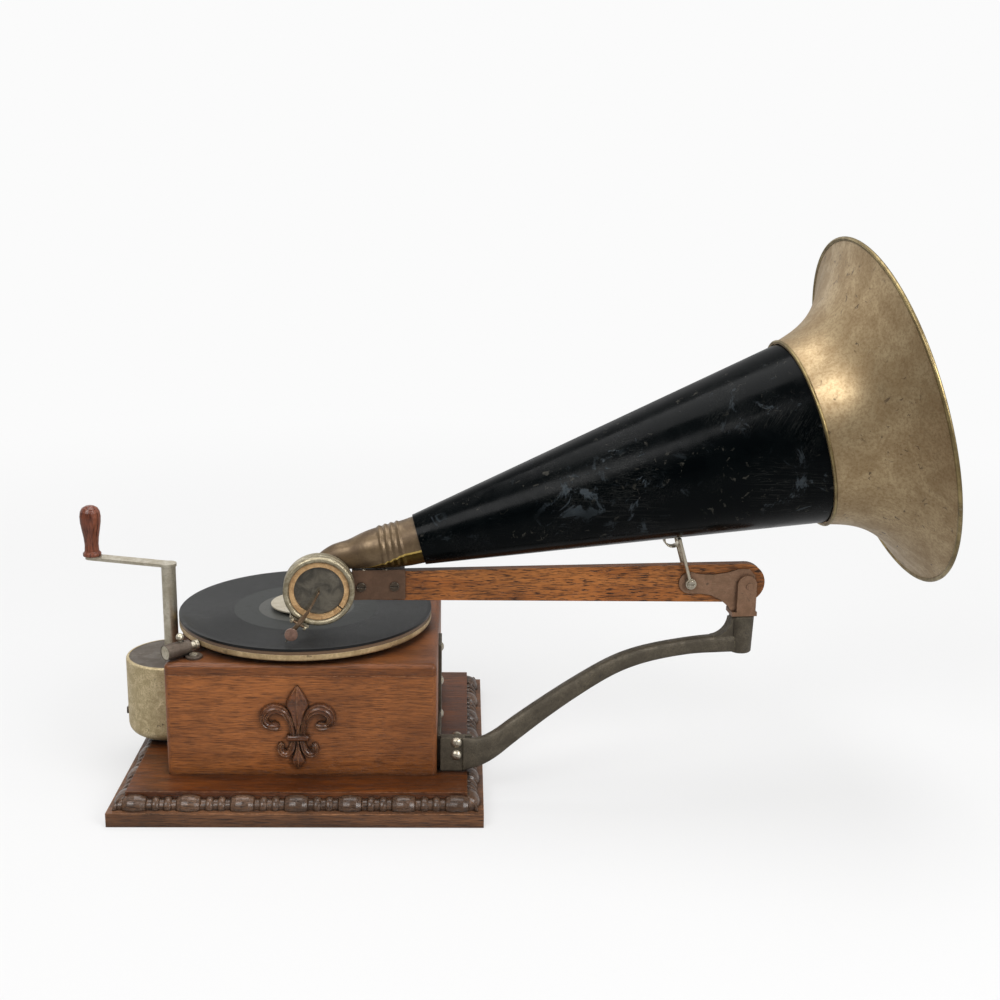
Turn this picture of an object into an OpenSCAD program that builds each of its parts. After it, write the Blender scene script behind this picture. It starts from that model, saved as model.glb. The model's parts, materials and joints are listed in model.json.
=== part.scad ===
// Horn gramophone: a hand wound table machine with an oak case, a front mount horn and a swinging horn arm.
// Millimetres. X to the right, Y away from the front, Z up. The origin is the centre of the base's underside.

/* [Base] */
// Width of the bottom slab
slab_w = 240.6; // [232:0.1:250]
// Depth of the bottom slab
slab_d = 235.6; // [225:0.1:245]
// Thickness of the bottom slab
slab_h = 9.4; // [8:0.1:11]
// Step from the slab's edge to the top board's edge
board_inset = 10.7; // [10:0.1:12]
// Thickness of the top board
board_h = 10.1; // [9.8:0.1:12]
// Flat lip of the slab left outside the carved band
band_lip = 2.3; // [1.5:0.1:3]
// Number of eggs carved along each side
egg_count = 7; // [5:1:8]
// Length of one carved egg
egg_len = 16; // [13:0.5:18]
// Depth of the valleys between the eggs
egg_relief = 3; // [1.5:0.1:4]

/* [Case] */
// Width of the case
case_w = 177; // [172:0.1:182]
// Depth of the case
case_d = 167.5; // [160:0.1:175]
// Height of the case above the base
case_h = 77.2; // [75:0.1:82]
// Case centre to the right of the base centre
case_x = 0.85; // [0:0.05:3]
// Case centre behind the base centre
case_y = 2.5; // [0:0.1:4]
// Thickness of the side panels
panel_t = 8; // [6:0.5:9]
// Thickness of the top panel
top_t = 8; // [6:0.5:8]
// Rounding of the case's edges
edge_r = 3.8; // [2:0.1:5]
// Height of the carved lily
lily_h = 58.7; // [54:0.1:64]
// How far the carved lily stands off the panel
lily_t = 4; // [2.5:0.1:5]

/* [Spring drum] */
// Distance of the drum's axis outside the case's left side
drum_out = 10.05; // [9:0.05:11.3]
// Distance of the drum's axis in front of the base centre
drum_y = 5; // [0:0.1:8]
// Outer radius of the drum
drum_r = 31.5; // [31:0.1:33]
// Height of the drum
drum_h = 55; // [54:0.1:57]
// Wall of the drum
drum_wall = 3.2; // [2.6:0.1:3.4]
// Rounding of the drum's lower edge
drum_edge_r = 7.5; // [6:0.1:8]
// Outer radius of the spring barrel
barrel_r = 26; // [22:0.1:26.3]
// Height of the spring barrel
barrel_h = 34.5; // [30:0.1:35]
// Turns of the mainspring
spring_turns = 7; // [4:1:9]
// Thickness of the mainspring strip
spring_t = 0.8; // [0.5:0.1:1]

/* [Crank] */
// Radius of the winding shaft
crank_r = 4.9; // [4:0.1:5]
// Height of the winding shaft's top above the ground
crank_top = 139.7; // [130:0.1:150]
// Distance from the winding shaft to the handle
crank_throw = 58.7; // [50:0.1:70]
// Angle of the crank arm seen from above
crank_angle = 163.5; // [150:0.5:180]
// Thickness of the crank arm
crank_arm_t = 2.2; // [1.5:0.1:3]
// Width of the crank arm
crank_arm_w = 9.6; // [9:0.1:12]
// Length of the wooden handle
handle_h = 36; // [30:0.5:44]
// Largest radius of the wooden handle
handle_r = 7.2; // [6.5:0.1:9]
// Radius of the handle's pin
handle_pin_r = 2; // [1.5:0.1:2.5]

/* [Motor] */
// Thickness of the motor's lower plate
low_plate_t = 1.5; // [1:0.1:2]
// Thickness of the motor's upper plate
up_plate_t = 2; // [1.5:0.1:3]
// Height of the upper plate's underside above the lower plate
plate_gap = 59; // [59:0.1:60.5]
// Radius of the motor's pillars
pillar_r = 3.5; // [2.5:0.1:4]
// Radius of the gear arbors
arbor_r = 2; // [1.6:0.1:2.2]
// Tooth module of the spring train
gear_module = 0.75; // [0.74:0.002:0.76]
// Teeth of the barrel gear
barrel_teeth = 72; // [70:1:72]
// Teeth of the first pinion
pinion_1_teeth = 15; // [15:1:16]
// Teeth of the first wheel
wheel_1_teeth = 64; // [62:1:66]
// Teeth of the second pinion
pinion_2_teeth = 16; // [15:1:17]
// Teeth of the second wheel
wheel_2_teeth = 60; // [58:1:62]
// Teeth of the spindle pinion
spindle_teeth = 30; // [29:1:32]
// Tooth module of the governor drive
governor_module = 0.5; // [0.48:0.01:0.52]
// Teeth of the governor drive wheel
governor_wheel_teeth = 80; // [76:1:84]
// Teeth of the governor pinion
governor_pinion_teeth = 12; // [12:1:14]
// Direction of the governor from the spindle
governor_angle = -35; // [-60:1:10]
// Thickness of the train wheels
wheel_t = 1.6; // [1.2:0.1:2]
// Play between meshing teeth
backlash = 0.16; // [0.1:0.01:0.2]
// Tooth tip height in modules
tooth_add = 0.85; // [0.8:0.01:0.95]
// Tooth root depth in modules
tooth_ded = 1.15; // [1.1:0.01:1.25]

/* [Turntable] */
// Distance of the spindle from the case's left side
spindle_in = 83.75; // [82.7:0.05:84.6]
// Distance of the spindle behind the base centre
spindle_y = 1.8; // [0.5:0.1:3]
// Radius of the spindle
spindle_r = 3.6; // [3:0.05:4]
// Radius of the record
record_r = 87.5; // [86:0.1:88]
// Thickness of the record
record_t = 1.7; // [1.2:0.1:2.5]
// Thickness of the felt
felt_t = 2.4; // [1.5:0.1:3]
// Height of the turntable's rim
rim_h = 4.4; // [3.5:0.1:6]
// Gap between the case's top and the turntable's rim
rim_gap = 3.5; // [2.5:0.1:6]
// Radius of the record clamp
clamp_r = 24.5; // [18:0.5:26]
// Height of the record clamp
clamp_h = 3.3; // [2.5:0.1:4]
// Free length of the spindle above the clamp's knob
spindle_free = 5; // [4:0.5:7]

/* [Brake] */
// Distance of the brake tube's centre from the case's left side
brake_in = 6.05; // [4.7:0.05:7.6]
// Distance of the brake tube's centre in front of the spindle
brake_front = 72.1; // [70.9:0.05:73.7]
// Height of the brake tube's axis above the case
brake_z = 5.4; // [5.4:0.1:6.5]
// Outer radius of the brake tube
brake_tube_r = 5.1; // [4.6:0.1:5.1]
// Length of the brake tube
brake_tube_l = 15.5; // [13:0.1:16]
// Travel of the brake rod
brake_travel = 1.2; // [0.8:0.1:1.5]

/* [Bracket] */
// Thickness of the side plate
side_plate_t = 2; // [1.5:0.1:3]
// Height of the side plate's foot and of the bracket's root
root_h = 23.3; // [20:0.1:25]
// Thickness of the bracket's root
root_t = 4; // [3:0.1:5]
// Radius of the bracket's bolts
bolt_r = 2.4; // [2:0.1:3]
// Thickness of the bracket's bar
bar_t = 9; // [7:0.1:11]
// Height of the bracket's bar where it rises
bar_h = 15; // [12:0.1:17]
// Radius of the bracket's boss
boss_r = 8.6; // [8:0.1:10]
// Height of the bracket's boss
boss_h = 26.8; // [24:0.1:30]
// Radius of the fork's spigot
spigot_r = 5; // [4:0.1:6]

/* [Horn arm] */
// Distance of the arm's hinge pin to the right of the base centre
pivot_x = 300; // [295:0.1:305]
// Distance of the arm's hinge pin in front of the base centre
pivot_y = 26; // [22:0.1:30]
// Height of the arm's hinge pin
pivot_z = 136.4; // [135:0.1:140]
// Angle of the arm seen from above
arm_yaw = 5; // [4:0.1:6]
// Distance of the swivel axis in front of the hinge pin
swivel_back = 2.5; // [1:0.1:4]
// Length of the arm in front of the hinge pin
arm_l = 264; // [260:0.1:267]
// Thickness of the arm
arm_t = 7; // [6:0.1:8]
// Radius of the arm's hinge pin
pin_r = 2.5; // [2:0.1:3]
// Thickness of the steel cheeks
cheek_t = 1.2; // [1:0.1:1.5]
// Thickness of the fork's ears
ear_t = 2.5; // [2:0.1:3]
// Diameter of the crutch wire
crutch_d = 2.4; // [2:0.1:2.8]

/* [Horn] */
// Pitch of the horn above the level
horn_pitch = 15.25; // [15:0.05:15.6]
// Radius of the cone's small end
cone_r0 = 17; // [16.6:0.1:17.6]
// Radius of the cone's large end
cone_r1 = 62; // [58:0.1:64]
// Length of the cone
cone_l = 265.5; // [255:0.5:272]
// Depth of the bell
bell_l = 58; // [52:0.5:64]
// Radius of the bell's rim
rim_r = 117.2; // [110:0.1:122]
// Thickness of the sheet metal
horn_wall = 0.7; // [0.6:0.05:1]
// Radius of the rolled edge
rim_bead_r = 1.5; // [1:0.1:2]

/* [Sound box] */
// Outer radius of the sound box
box_r = 23.2; // [22:0.1:24]
// Depth of the sound box
box_t = 12; // [11:0.1:12.2]
// Radius of the diaphragm's free part
diaphragm_r = 16.2; // [15:0.1:17]
// Width of the sound box's metal ring
box_ring = 3.8; // [3:0.1:4]
// Radius of the needle
needle_r = 0.7; // [0.5:0.05:0.9]

/* [Hidden] */
$fn = 64;

// Clearances: a running fit on a shaft, a small free gap, and the reach of a cut past a face
run_gap = 0.06;
free_gap = 0.3;
rest_gap = 0.02;
cut = 1;

// Colours
oak = "sienna";
dark_oak = "saddlebrown";
nickel = "silver";
steel = "dimgray";
brass_c = "darkgoldenrod";
japan = "black";

// Levels
board_top = slab_h + board_h;
case_top_z = board_top + case_h;
case_x0 = case_x - case_w / 2;
case_y0 = case_y - case_d / 2;
case_x1 = case_x0 + case_w;
band_r = board_inset - band_lip;

// Motor levels and centres
low_plate_z = board_top;
low_plate_top = low_plate_z + low_plate_t;
up_plate_z = low_plate_top + plate_gap;
up_plate_top = up_plate_z + up_plate_t;
drum_z = low_plate_top;
drum_top = drum_z + drum_h;
cap_t = 1.5;
cap_seat = 1.7;
drum_in_r = drum_r - drum_wall;
cap_r = drum_in_r + 1;
barrel_lift = 2.5;
barrel_z = drum_z + barrel_lift;
barrel_gear_z = barrel_z + barrel_h;
barrel_gear_t = 3;
wheel_1_gap = 2;
wheel_1_z = barrel_gear_z + barrel_gear_t + wheel_1_gap;
ratchet_gap = 2.5;
ratchet_z = wheel_1_z + wheel_t + ratchet_gap;
ratchet_t = 3;
wheel_2_gap = 4.4;
wheel_2_z = wheel_1_z + wheel_t + wheel_2_gap;
governor_wheel_lift = 29;
governor_wheel_z = low_plate_top + governor_wheel_lift;
drum_at = [case_x0 - drum_out, -drum_y];
spindle_at = [case_x0 + spindle_in, spindle_y];

function dist(a, b) = norm(b - a);
function dir_of(a, b) = atan2(b[1] - a[1], b[0] - a[0]);
function polar(r, a) = [r * cos(a), r * sin(a)];
function pitch_r(n, m) = n * m / 2;
function unit(v) = v / norm(v);

// Gear centres: the first arbor lies a little behind the line to the spindle, the second closes the triangle
span_1 = pitch_r(barrel_teeth + pinion_1_teeth, gear_module);
span_2 = pitch_r(wheel_1_teeth + pinion_2_teeth, gear_module);
span_3 = pitch_r(wheel_2_teeth + spindle_teeth, gear_module);
arbor_1_at = drum_at + polar(span_1, dir_of(drum_at, spindle_at) + 6);
reach = dist(arbor_1_at, spindle_at);
fold_cos = (span_2 * span_2 + reach * reach - span_3 * span_3) / (2 * span_2 * reach);
arbor_2_at = arbor_1_at + polar(span_2, dir_of(arbor_1_at, spindle_at) + acos(min(1, fold_cos)));
governor_at = spindle_at
  + polar(pitch_r(governor_wheel_teeth + governor_pinion_teeth, governor_module), governor_angle);

// Turns a gear at b so that it meshes with a gear at a
function mesh_turn(a, b, na, nb, turn_a) =
  let (t = dir_of(a, b)) t + 180 + (0.5 - (turn_a - t) * na / 360) * 360 / nb;
turn_1 = mesh_turn(drum_at, arbor_1_at, barrel_teeth, pinion_1_teeth, 0);
turn_2 = mesh_turn(arbor_1_at, arbor_2_at, wheel_1_teeth, pinion_2_teeth, 0);
turn_3 = mesh_turn(arbor_2_at, spindle_at, wheel_2_teeth, spindle_teeth, 0);
turn_4 = mesh_turn(spindle_at, governor_at, governor_wheel_teeth, governor_pinion_teeth, 0);

// Turntable levels
rim_z = case_top_z + rim_gap;
felt_z = rim_z + rim_h;
record_z = felt_z + felt_t;
record_top = record_z + record_t;
platter_t = 2.2;
hub_r = 9;
hub_drop = 2;
clamp_knob_h = 6;
spindle_top = record_top + clamp_h + clamp_knob_h + spindle_free;
// The spindle is turned down a little above the clamp's knob
spindle_tip_r = spindle_r - 0.1;
spindle_tip_z = spindle_top - spindle_free + free_gap;
spindle_taper = 0.6;

// Places in the arm's own frame: its origin is the hinge pin's middle and its +X runs away from the sound box
arm_top_front = 14.3;
arm_top_back = 14.95;
arm_low_front = -4.8;
arm_low_back = -12.1;
arm_end_x = -2.2;
arm_end_r = (arm_top_back - arm_low_back) / 2;
arm_end_z = (arm_top_back + arm_low_back) / 2;
cheek_y = arm_t / 2;
ear_y = cheek_y + cheek_t + free_gap;
fork_half = ear_y + ear_t;
bridge_top = -18.3;
bridge_t = 2.9;
bridge_low = bridge_top - bridge_t;
boss_top = bridge_low - 0.2;
spigot_l = 19;
clip_l = 33;
clip_t = 1.2;
clip_play = 0.2;
plate_top = arm_top_front + clip_play + clip_t;
crutch_x = -41.1;
crutch_z = 2.6;
crutch_y = cheek_y + cheek_t + crutch_d / 2 + 1;
crutch_bar_x = -50.1;
clip_screw_x = [-arm_l + 1.4, -arm_l + 23.2];
clip_screw_z = 4.4;
crutch_plate_r = 7.5;

// Horn: the axis starts at axis_x, axis_z in the arm's frame, and its stations are measured from there
axis_x = -arm_l + 23.1;
axis_z = 30.5;
cone_s = 17.1;
horn_slope = (cone_r1 - cone_r0) / cone_l;

// Height of the cone's underside at a place along the arm
function cone_station(x) = (x - axis_x - sin(horn_pitch) * (cone_r0 - cone_s * horn_slope))
  / (cos(horn_pitch) + sin(horn_pitch) * horn_slope);
function cone_low(x) =
  let (s = cone_station(x), r = cone_r0 + (s - cone_s) * horn_slope)
  axis_z + s * sin(horn_pitch) - r * cos(horn_pitch);
crutch_bar_z = cone_low(crutch_bar_x) - crutch_d / 2 - free_gap;
bell_s = cone_s + cone_l - 3;
bell_r0 = cone_r1 + 0.1;
bell_slope = 16;
bell_power = 3.15;
bell_steps = 14;
seam_bead_r = 1.1;
function bell_radius(t) = bell_r0 + bell_slope * t + (rim_r - bell_r0 - bell_slope) * pow(t, bell_power);

// Sound box: front centre in the arm's frame
box_x = -arm_l - 26.2;
box_y = -20.5;
box_z = 6.4;
box_back = box_t;
neck_r = 7.4;
neck_l = 6;
seat_y = 6.8;
gasket_t = 2.2;
diaphragm_t = 0.4;
bar_y = -1.6;
stylus_pivot = [-13.45, -20.7];
needle_head = [-18.1, -26.4];
needle_tip = [-22, -33.9];

// A rounded block with round upper edges and upright corners
module round_block(size, r) {
  translate([r, 0, 0]) cube([size[0] - 2 * r, size[1], size[2] - r]);
  translate([0, r, 0]) cube([size[0], size[1] - 2 * r, size[2] - r]);
  translate([r, r, 0]) cube([size[0] - 2 * r, size[1] - 2 * r, size[2]]);
  for (x = [r, size[0] - r], y = [r, size[1] - r]) {
    translate([x, y, 0]) cylinder(r = r, h = size[2] - r);
    translate([x, y, size[2] - r]) sphere(r = r);
  }
  for (y = [r, size[1] - r])
    translate([r, y, size[2] - r]) rotate([0, 90, 0]) cylinder(r = r, h = size[0] - 2 * r);
  for (x = [r, size[0] - r])
    translate([x, r, size[2] - r]) rotate([-90, 0, 0]) cylinder(r = r, h = size[1] - 2 * r);
}

// A rod along Y from y0 to y1
module y_rod(r, y0, y1) {
  translate([0, y1, 0]) rotate([90, 0, 0]) cylinder(r = r, h = y1 - y0);
}

// A rod between two points
module rod(a, b, r) {
  d = b - a;
  translate(a) rotate([0, acos(d[2] / norm(d)), atan2(d[1], d[0])]) cylinder(r = r, h = norm(d));
}

// A domed screw head of radius r that stands on the plane z = 0
module dome_head(r, h) {
  ball = (r * r + h * h) / (2 * h);
  intersection() {
    translate([0, 0, h - ball]) sphere(r = ball);
    cylinder(r = r, h = h);
  }
}

// A flat screw head with a slot
module slotted_head(r, h) {
  difference() {
    cylinder(r = r, h = h);
    translate([-r - cut, -r / 7, h * 0.5]) cube([2 * r + 2 * cut, r / 3.5, h]);
  }
}

// Involute tooth outline of one gear
function inv(a) = tan(a) * 180 / PI - a;
function flank(n, m, r) =
  let (base = pitch_r(n, m) * cos(20), play = backlash / 4 / pitch_r(n, m) * 180 / PI)
  90 / n - play + inv(20) - inv(acos(min(1, base / max(r, base))));
function tooth_radii(n, m) =
  let (p = pitch_r(n, m), root = p - tooth_ded * m, base = max(root, p * cos(20)))
  [root, max(base, root + 0.05 * m), p, p + tooth_add * m];
function gear_outline(n, m) =
  let (rr = tooth_radii(n, m))
  [for (k = [0:n - 1]) each concat(
    [for (i = [0:3]) polar(rr[i], k * 360 / n - flank(n, m, rr[i]))],
    [for (i = [3:-1:0]) polar(rr[i], k * 360 / n + flank(n, m, rr[i]))])];
module gear(n, m, t) {
  linear_extrude(t) polygon(gear_outline(n, m));
}

// A wheel with teeth and round holes in its web; its bore is cut by the caller
wheel_rim = 3.2;
wheel_hub_r = 5;
wheel_web = 0.6;
wheel_holes = 5;
module train_wheel(n, m, t) {
  rim = pitch_r(n, m) - wheel_rim;
  difference() {
    gear(n, m, t);
    for (k = [0:wheel_holes - 1])
      rotate([0, 0, k * 360 / wheel_holes]) translate([(rim + wheel_hub_r) / 2, 0, -cut])
        cylinder(r = (rim - wheel_hub_r) / 2 - wheel_web, h = t + 2 * cut);
  }
}

// A smooth curve through points, with per stretch steps
function spline_at(p, i, t) =
  let (n = len(p), a = p[max(0, i - 1)], b = p[i], c = p[min(n - 1, i + 1)], d = p[min(n - 1, i + 2)])
  0.5 * ((2 * b) + (c - a) * t + (2 * a - 5 * b + 4 * c - d) * t * t + (3 * b - a - 3 * c + d) * t * t * t);
function spline(p, steps) =
  concat([for (i = [0:len(p) - 2], k = [0:steps - 1]) spline_at(p, i, k / steps)], [p[len(p) - 1]]);

// Direction of a flat path at its station i
function path_dir(q, i) =
  let (d = q[min(i + 1, len(q) - 1)] - q[max(i - 1, 0)])
  [d[0], d[1]] / norm([d[0], d[1]]);

// Triangles of a skin over rings of equal count, closed by end caps
function skin_faces(rings, sides) = concat(
  [for (i = [0:rings - 2], j = [0:sides - 1]) [i * sides + j, (i + 1) * sides + (j + 1) % sides,
    i * sides + (j + 1) % sides]],
  [for (i = [0:rings - 2], j = [0:sides - 1]) [i * sides + j, (i + 1) * sides + j,
    (i + 1) * sides + (j + 1) % sides]]);
function cap_faces(rings, sides) = [
  [for (j = [0:sides - 1]) j],
  [for (j = [sides - 1:-1:0]) (rings - 1) * sides + j]];
module skin(rings) {
  n = len(rings);
  sides = len(rings[0]);
  polyhedron(points = [for (r = rings) each r], faces = concat(skin_faces(n, sides), cap_faces(n, sides)));
}

// Base
module base_slab() {
  color(dark_oak) translate([-slab_w / 2, -slab_d / 2, 0]) cube([slab_w, slab_d, slab_h]);
}

module base_top_board() {
  color(dark_oak) translate([board_inset - slab_w / 2, board_inset - slab_d / 2, slab_h])
    cube([slab_w - 2 * board_inset, slab_d - 2 * board_inset, board_h]);
}

// Radius of the carved band: one egg and two reels in each pitch
reel_offset = 3.9;
reel_len = 5;
reel_relief = 1.7;
valley_r = band_r - egg_relief;
function bead_points(c, l, h) = [for (a = [0:30:180]) [valley_r + h * sin(a), c - l / 2 * cos(a)]];
function band_outline(l) =
  let (pitch = l / egg_count)
  concat([[0, -l / 2], [valley_r, -l / 2]],
    [for (k = [0:egg_count - 1]) let (c = (k + 0.5) * pitch - l / 2) each concat(
      bead_points(c - pitch / 2 + reel_offset, reel_len, reel_relief),
      bead_points(c, egg_len, egg_relief),
      bead_points(c + pitch / 2 - reel_offset, reel_len, reel_relief))],
    [[valley_r, l / 2], [0, l / 2]]);

band_core = 0.6 * valley_r;
band_core_in = 0.3;
module carved_band() {
  color(dark_oak) {
    // A core inside the moulding joins its four mitred sides
    translate([0, 0, slab_h + band_core_in]) linear_extrude(band_core - band_core_in) difference() {
      square([slab_w, slab_d] - 2 * (board_inset - band_core) * [1, 1], center = true);
      square([slab_w, slab_d] - 2 * (board_inset - band_core_in) * [1, 1], center = true);
    }
    for (k = [0:3]) {
      l = k % 2 == 0 ? slab_w : slab_d;
      d = k % 2 == 0 ? slab_d : slab_w;
      rotate([0, 0, 90 * k]) intersection() {
        translate([0, board_inset - d / 2, slab_h]) rotate([90, 0, -90])
          rotate_extrude(angle = 90) polygon(band_outline(l));
        translate([0, 0, slab_h]) linear_extrude(board_h) polygon([
          [-l / 2, -d / 2], [l / 2, -d / 2],
          [l / 2 - board_inset, board_inset - d / 2], [board_inset - l / 2, board_inset - d / 2]]);
      }
    }
  }
}

// Case
module case_envelope() {
  translate([case_x0, case_y0, board_top]) round_block([case_w, case_d, case_h], edge_r);
}

module case_slice(at, size) {
  intersection() {
    case_envelope();
    translate(at) cube(size);
  }
}
side_h = case_h - top_t;

module case_front() {
  color(oak) case_slice([case_x0, case_y0, board_top], [case_w, panel_t, side_h]);
}

module case_back() {
  color(oak) case_slice([case_x0, case_y0 + case_d - panel_t, board_top], [case_w, panel_t, side_h]);
}

module case_left() {
  color(oak) difference() {
    case_slice([case_x0, case_y0 + panel_t, board_top], [panel_t, case_d - 2 * panel_t, side_h]);
    translate([drum_at[0], drum_at[1], board_top - cut])
      cylinder(r = drum_r + free_gap, h = drum_top - board_top + free_gap + cut);
    // Room for the first wheel
    translate([arbor_1_at[0], arbor_1_at[1], wheel_1_z - 1])
      cylinder(r = pitch_r(wheel_1_teeth, gear_module) + 2, h = wheel_t + 2);
  }
}

// Screws of the side plate: a row up its upright leg
side_screw_in = 65;
side_screw_y = case_y0 + side_screw_in;
side_screw_z = [for (k = [0:2]) board_top + 16.5 + 25 * k];
side_shank_r = 1.4;
side_shank_l = 5;

module case_right() {
  color(oak) difference() {
    case_slice([case_x1 - panel_t, case_y0 + panel_t, board_top], [panel_t, case_d - 2 * panel_t, side_h]);
    for (z = side_screw_z)
      translate([case_x1 - side_shank_l, side_screw_y, z]) rotate([0, 90, 0])
        cylinder(r = side_shank_r + run_gap, h = side_shank_l + cut);
  }
}

module case_top() {
  color(oak) difference() {
    case_slice([case_x0, case_y0, board_top + side_h], [case_w, case_d, top_t]);
    translate([spindle_at[0], spindle_at[1], board_top + side_h - cut])
      cylinder(r = spindle_r + 3, h = top_t + 2 * cut);
    translate([brake_foot[0], brake_foot[1], case_top_z - brake_shank_l])
      cylinder(r = brake_shank_r + run_gap, h = brake_shank_l + cut);
  }
}

// Carved lily: stations run along each leaf in shares of the lily's height.
// Each station gives the place, the half width and the height off the panel in shares of lily_t.
lily_z = board_top + 4.5;
lily_left = 2.35;
leaf_profile = [[-1, -0.2], [-0.92, 0.4], [-0.4, 0.9], [0.25, 1], [0.9, 0.5], [1, -0.2]];
spear_profile = [[-1, -0.3], [-0.95, 0.45], [0, 1], [0.95, 0.45], [1, -0.3]];
petal_stations = [[-0.048, 0.385, 0.026, 0.7], [-0.058, 0.46, 0.027, 0.75], [-0.075, 0.56, 0.028, 0.8],
  [-0.115, 0.643, 0.034, 0.85], [-0.152, 0.697, 0.042, 0.9], [-0.243, 0.727, 0.05, 0.95],
  [-0.33, 0.695, 0.052, 1], [-0.372, 0.627, 0.043, 1], [-0.36, 0.568, 0.038, 0.95],
  [-0.317, 0.527, 0.035, 0.9], [-0.25, 0.525, 0.045, 0.9], [-0.205, 0.53, 0.022, 0.7]];
sepal_stations = [[-0.048, 0.36, 0.026, 0.65], [-0.058, 0.3, 0.03, 0.7], [-0.082, 0.235, 0.036, 0.8],
  [-0.12, 0.195, 0.036, 0.85], [-0.163, 0.195, 0.035, 0.85], [-0.192, 0.238, 0.035, 0.85],
  [-0.19, 0.288, 0.03, 0.8], [-0.17, 0.315, 0.02, 0.6]];
spear_stations = [[0, 0.38, 0.026, 0.6], [0, 0.48, 0.022, 0.75], [0, 0.58, 0.046, 0.85],
  [0, 0.69, 0.076, 0.95], [0, 0.768, 0.104, 1], [0, 0.84, 0.088, 0.95], [0, 0.92, 0.052, 0.75],
  [0, 1, 0.004, 0.4]];
foot_stations = [[0, 0.38, 0.02, 0.6], [0, 0.29, 0.015, 0.7], [0, 0.2, 0.034, 0.8], [0, 0.108, 0.064, 0.9],
  [0, 0.05, 0.038, 0.75], [0, 0, 0.004, 0.4]];
function leaf_ring(p, d, profile) =
  [for (k = [len(profile) - 1:-1:0]) let (q = profile[k])
    [(p[0] - d[1] * q[0] * p[2]) * lily_h, (p[1] + d[0] * q[0] * p[2]) * lily_h,
      (q[1] < 0 ? q[1] : q[1] * p[3]) * lily_t]];
module leaf(stations, profile) {
  line = spline(stations, 2);
  skin([for (i = [0:len(line) - 1]) leaf_ring(line[i], path_dir(line, i), profile)]);
}
module lily_half() {
  leaf(petal_stations, leaf_profile);
  leaf(sepal_stations, leaf_profile);
}
band_half = 0.125;
band_low = 0.352;
band_high = 0.414;
module carved_lily() {
  color(dark_oak) translate([case_x - lily_left, case_y0, lily_z]) rotate([90, 0, 0]) intersection() {
    union() {
      lily_half();
      mirror([1, 0, 0]) lily_half();
      leaf(spear_stations, spear_profile);
      leaf(foot_stations, spear_profile);
      translate([-band_half * lily_h, band_low * lily_h, -2])
        cube([2 * band_half * lily_h, (band_high - band_low) * lily_h, lily_t + 2]);
    }
    translate([-lily_h, -lily_h, 0]) cube([2 * lily_h, 3 * lily_h, lily_t]);
  }
}

// Spring drum
module round_cup(r, h, edge, lip = 0) {
  rotate_extrude() {
    translate([0, edge]) square([r, h - edge - lip]);
    if (lip > 0) {
      translate([0, h - lip - 0.1]) square([r - lip, lip + 0.1]);
      translate([r - lip, h - lip]) circle(r = lip);
    }
    square([r - edge, edge + 0.1]);
    translate([r - edge, edge]) intersection() {
      circle(r = edge);
      translate([0, -edge]) square([edge, edge + 0.1]);
    }
  }
}
drum_floor = 1.5;
drum_lip_r = 1.6;
drum_screw_z = 14;
drum_screw_r = 1.3;
drum_screw_head = 2.4;
drum_screw_a = [176, 188, 145];
journal_r = 3;
slot_half = 9;
slot_x = span_1 - arbor_r - 4.6;
module at_drum() {
  translate([drum_at[0], drum_at[1], drum_z]) children();
}
module at_drum_screws() {
  for (a = drum_screw_a) rotate([0, 0, a]) translate([drum_r, 0, drum_screw_z]) rotate([0, 90, 0]) children();
}

module drum_housing() {
  color("tan") at_drum() difference() {
    round_cup(drum_r, drum_h, drum_edge_r, drum_lip_r);
    translate([0, 0, drum_floor]) round_cup(drum_in_r, drum_h, drum_edge_r - drum_wall);
    translate([0, 0, drum_h - cap_seat]) cylinder(r = cap_r + run_gap, h = cap_seat + cut);
    translate([0, 0, -cut]) cylinder(r = journal_r + run_gap, h = drum_floor + 2 * cut);
    // Slot for the first arbor, inside the case
    rotate([0, 0, dir_of(drum_at, arbor_1_at)]) translate([slot_x, -slot_half, -cut])
      cube([drum_r, 2 * slot_half, drum_h + 2 * cut]);
    // Window for the first wheel, inside the case
    translate([drum_out + free_gap, -drum_r, wheel_1_z - drum_z - 1.2])
      cube([2 * drum_r, 2 * drum_r, wheel_t + 2.4]);
    at_drum_screws() translate([0, 0, -drum_wall - cut])
      cylinder(r = drum_screw_r + run_gap, h = drum_wall + 2 * cut);
  }
}

pawl_at = [-18, 12];
pawl_post_r = 2;
pawl_post_low = 0.8;
module drum_cap() {
  color("saddlebrown") at_drum() {
    difference() {
      translate([0, 0, drum_h - cap_seat]) cylinder(r = cap_r, h = cap_t);
      translate([0, 0, drum_h - cap_seat - cut]) cylinder(r = crank_r + run_gap, h = cap_t + 2 * cut);
      rotate([0, 0, dir_of(drum_at, arbor_1_at)]) translate([slot_x, -slot_half, drum_h - cap_seat - cut])
        cube([drum_r, 2 * slot_half, cap_t + 2 * cut]);
    }
    translate([pawl_at[0], pawl_at[1], ratchet_z - drum_z - pawl_post_low])
      cylinder(r = pawl_post_r, h = drum_top - cap_seat - ratchet_z + pawl_post_low + 0.1);
  }
}

module drum_screws() {
  color(steel) at_drum() at_drum_screws() {
    slotted_head(drum_screw_head, 1.2);
    translate([0, 0, -drum_wall]) cylinder(r = drum_screw_r, h = drum_wall + 0.1);
  }
}

// Motor frame
plate_past = 32;
plate_x1 = spindle_at[0] + plate_past;
plate_y0 = -48;
plate_y1 = 40;
plate_x0 = case_x0 + panel_t + 1.4;
pillar_in = 6;
pillar_at = [for (x = [plate_x0 + pillar_in, plate_x1 - pillar_in])
  for (y = [plate_y0 + pillar_in, plate_y1 - pillar_in]) [x, y]];
arbors_at = [arbor_1_at, arbor_2_at];

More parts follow.
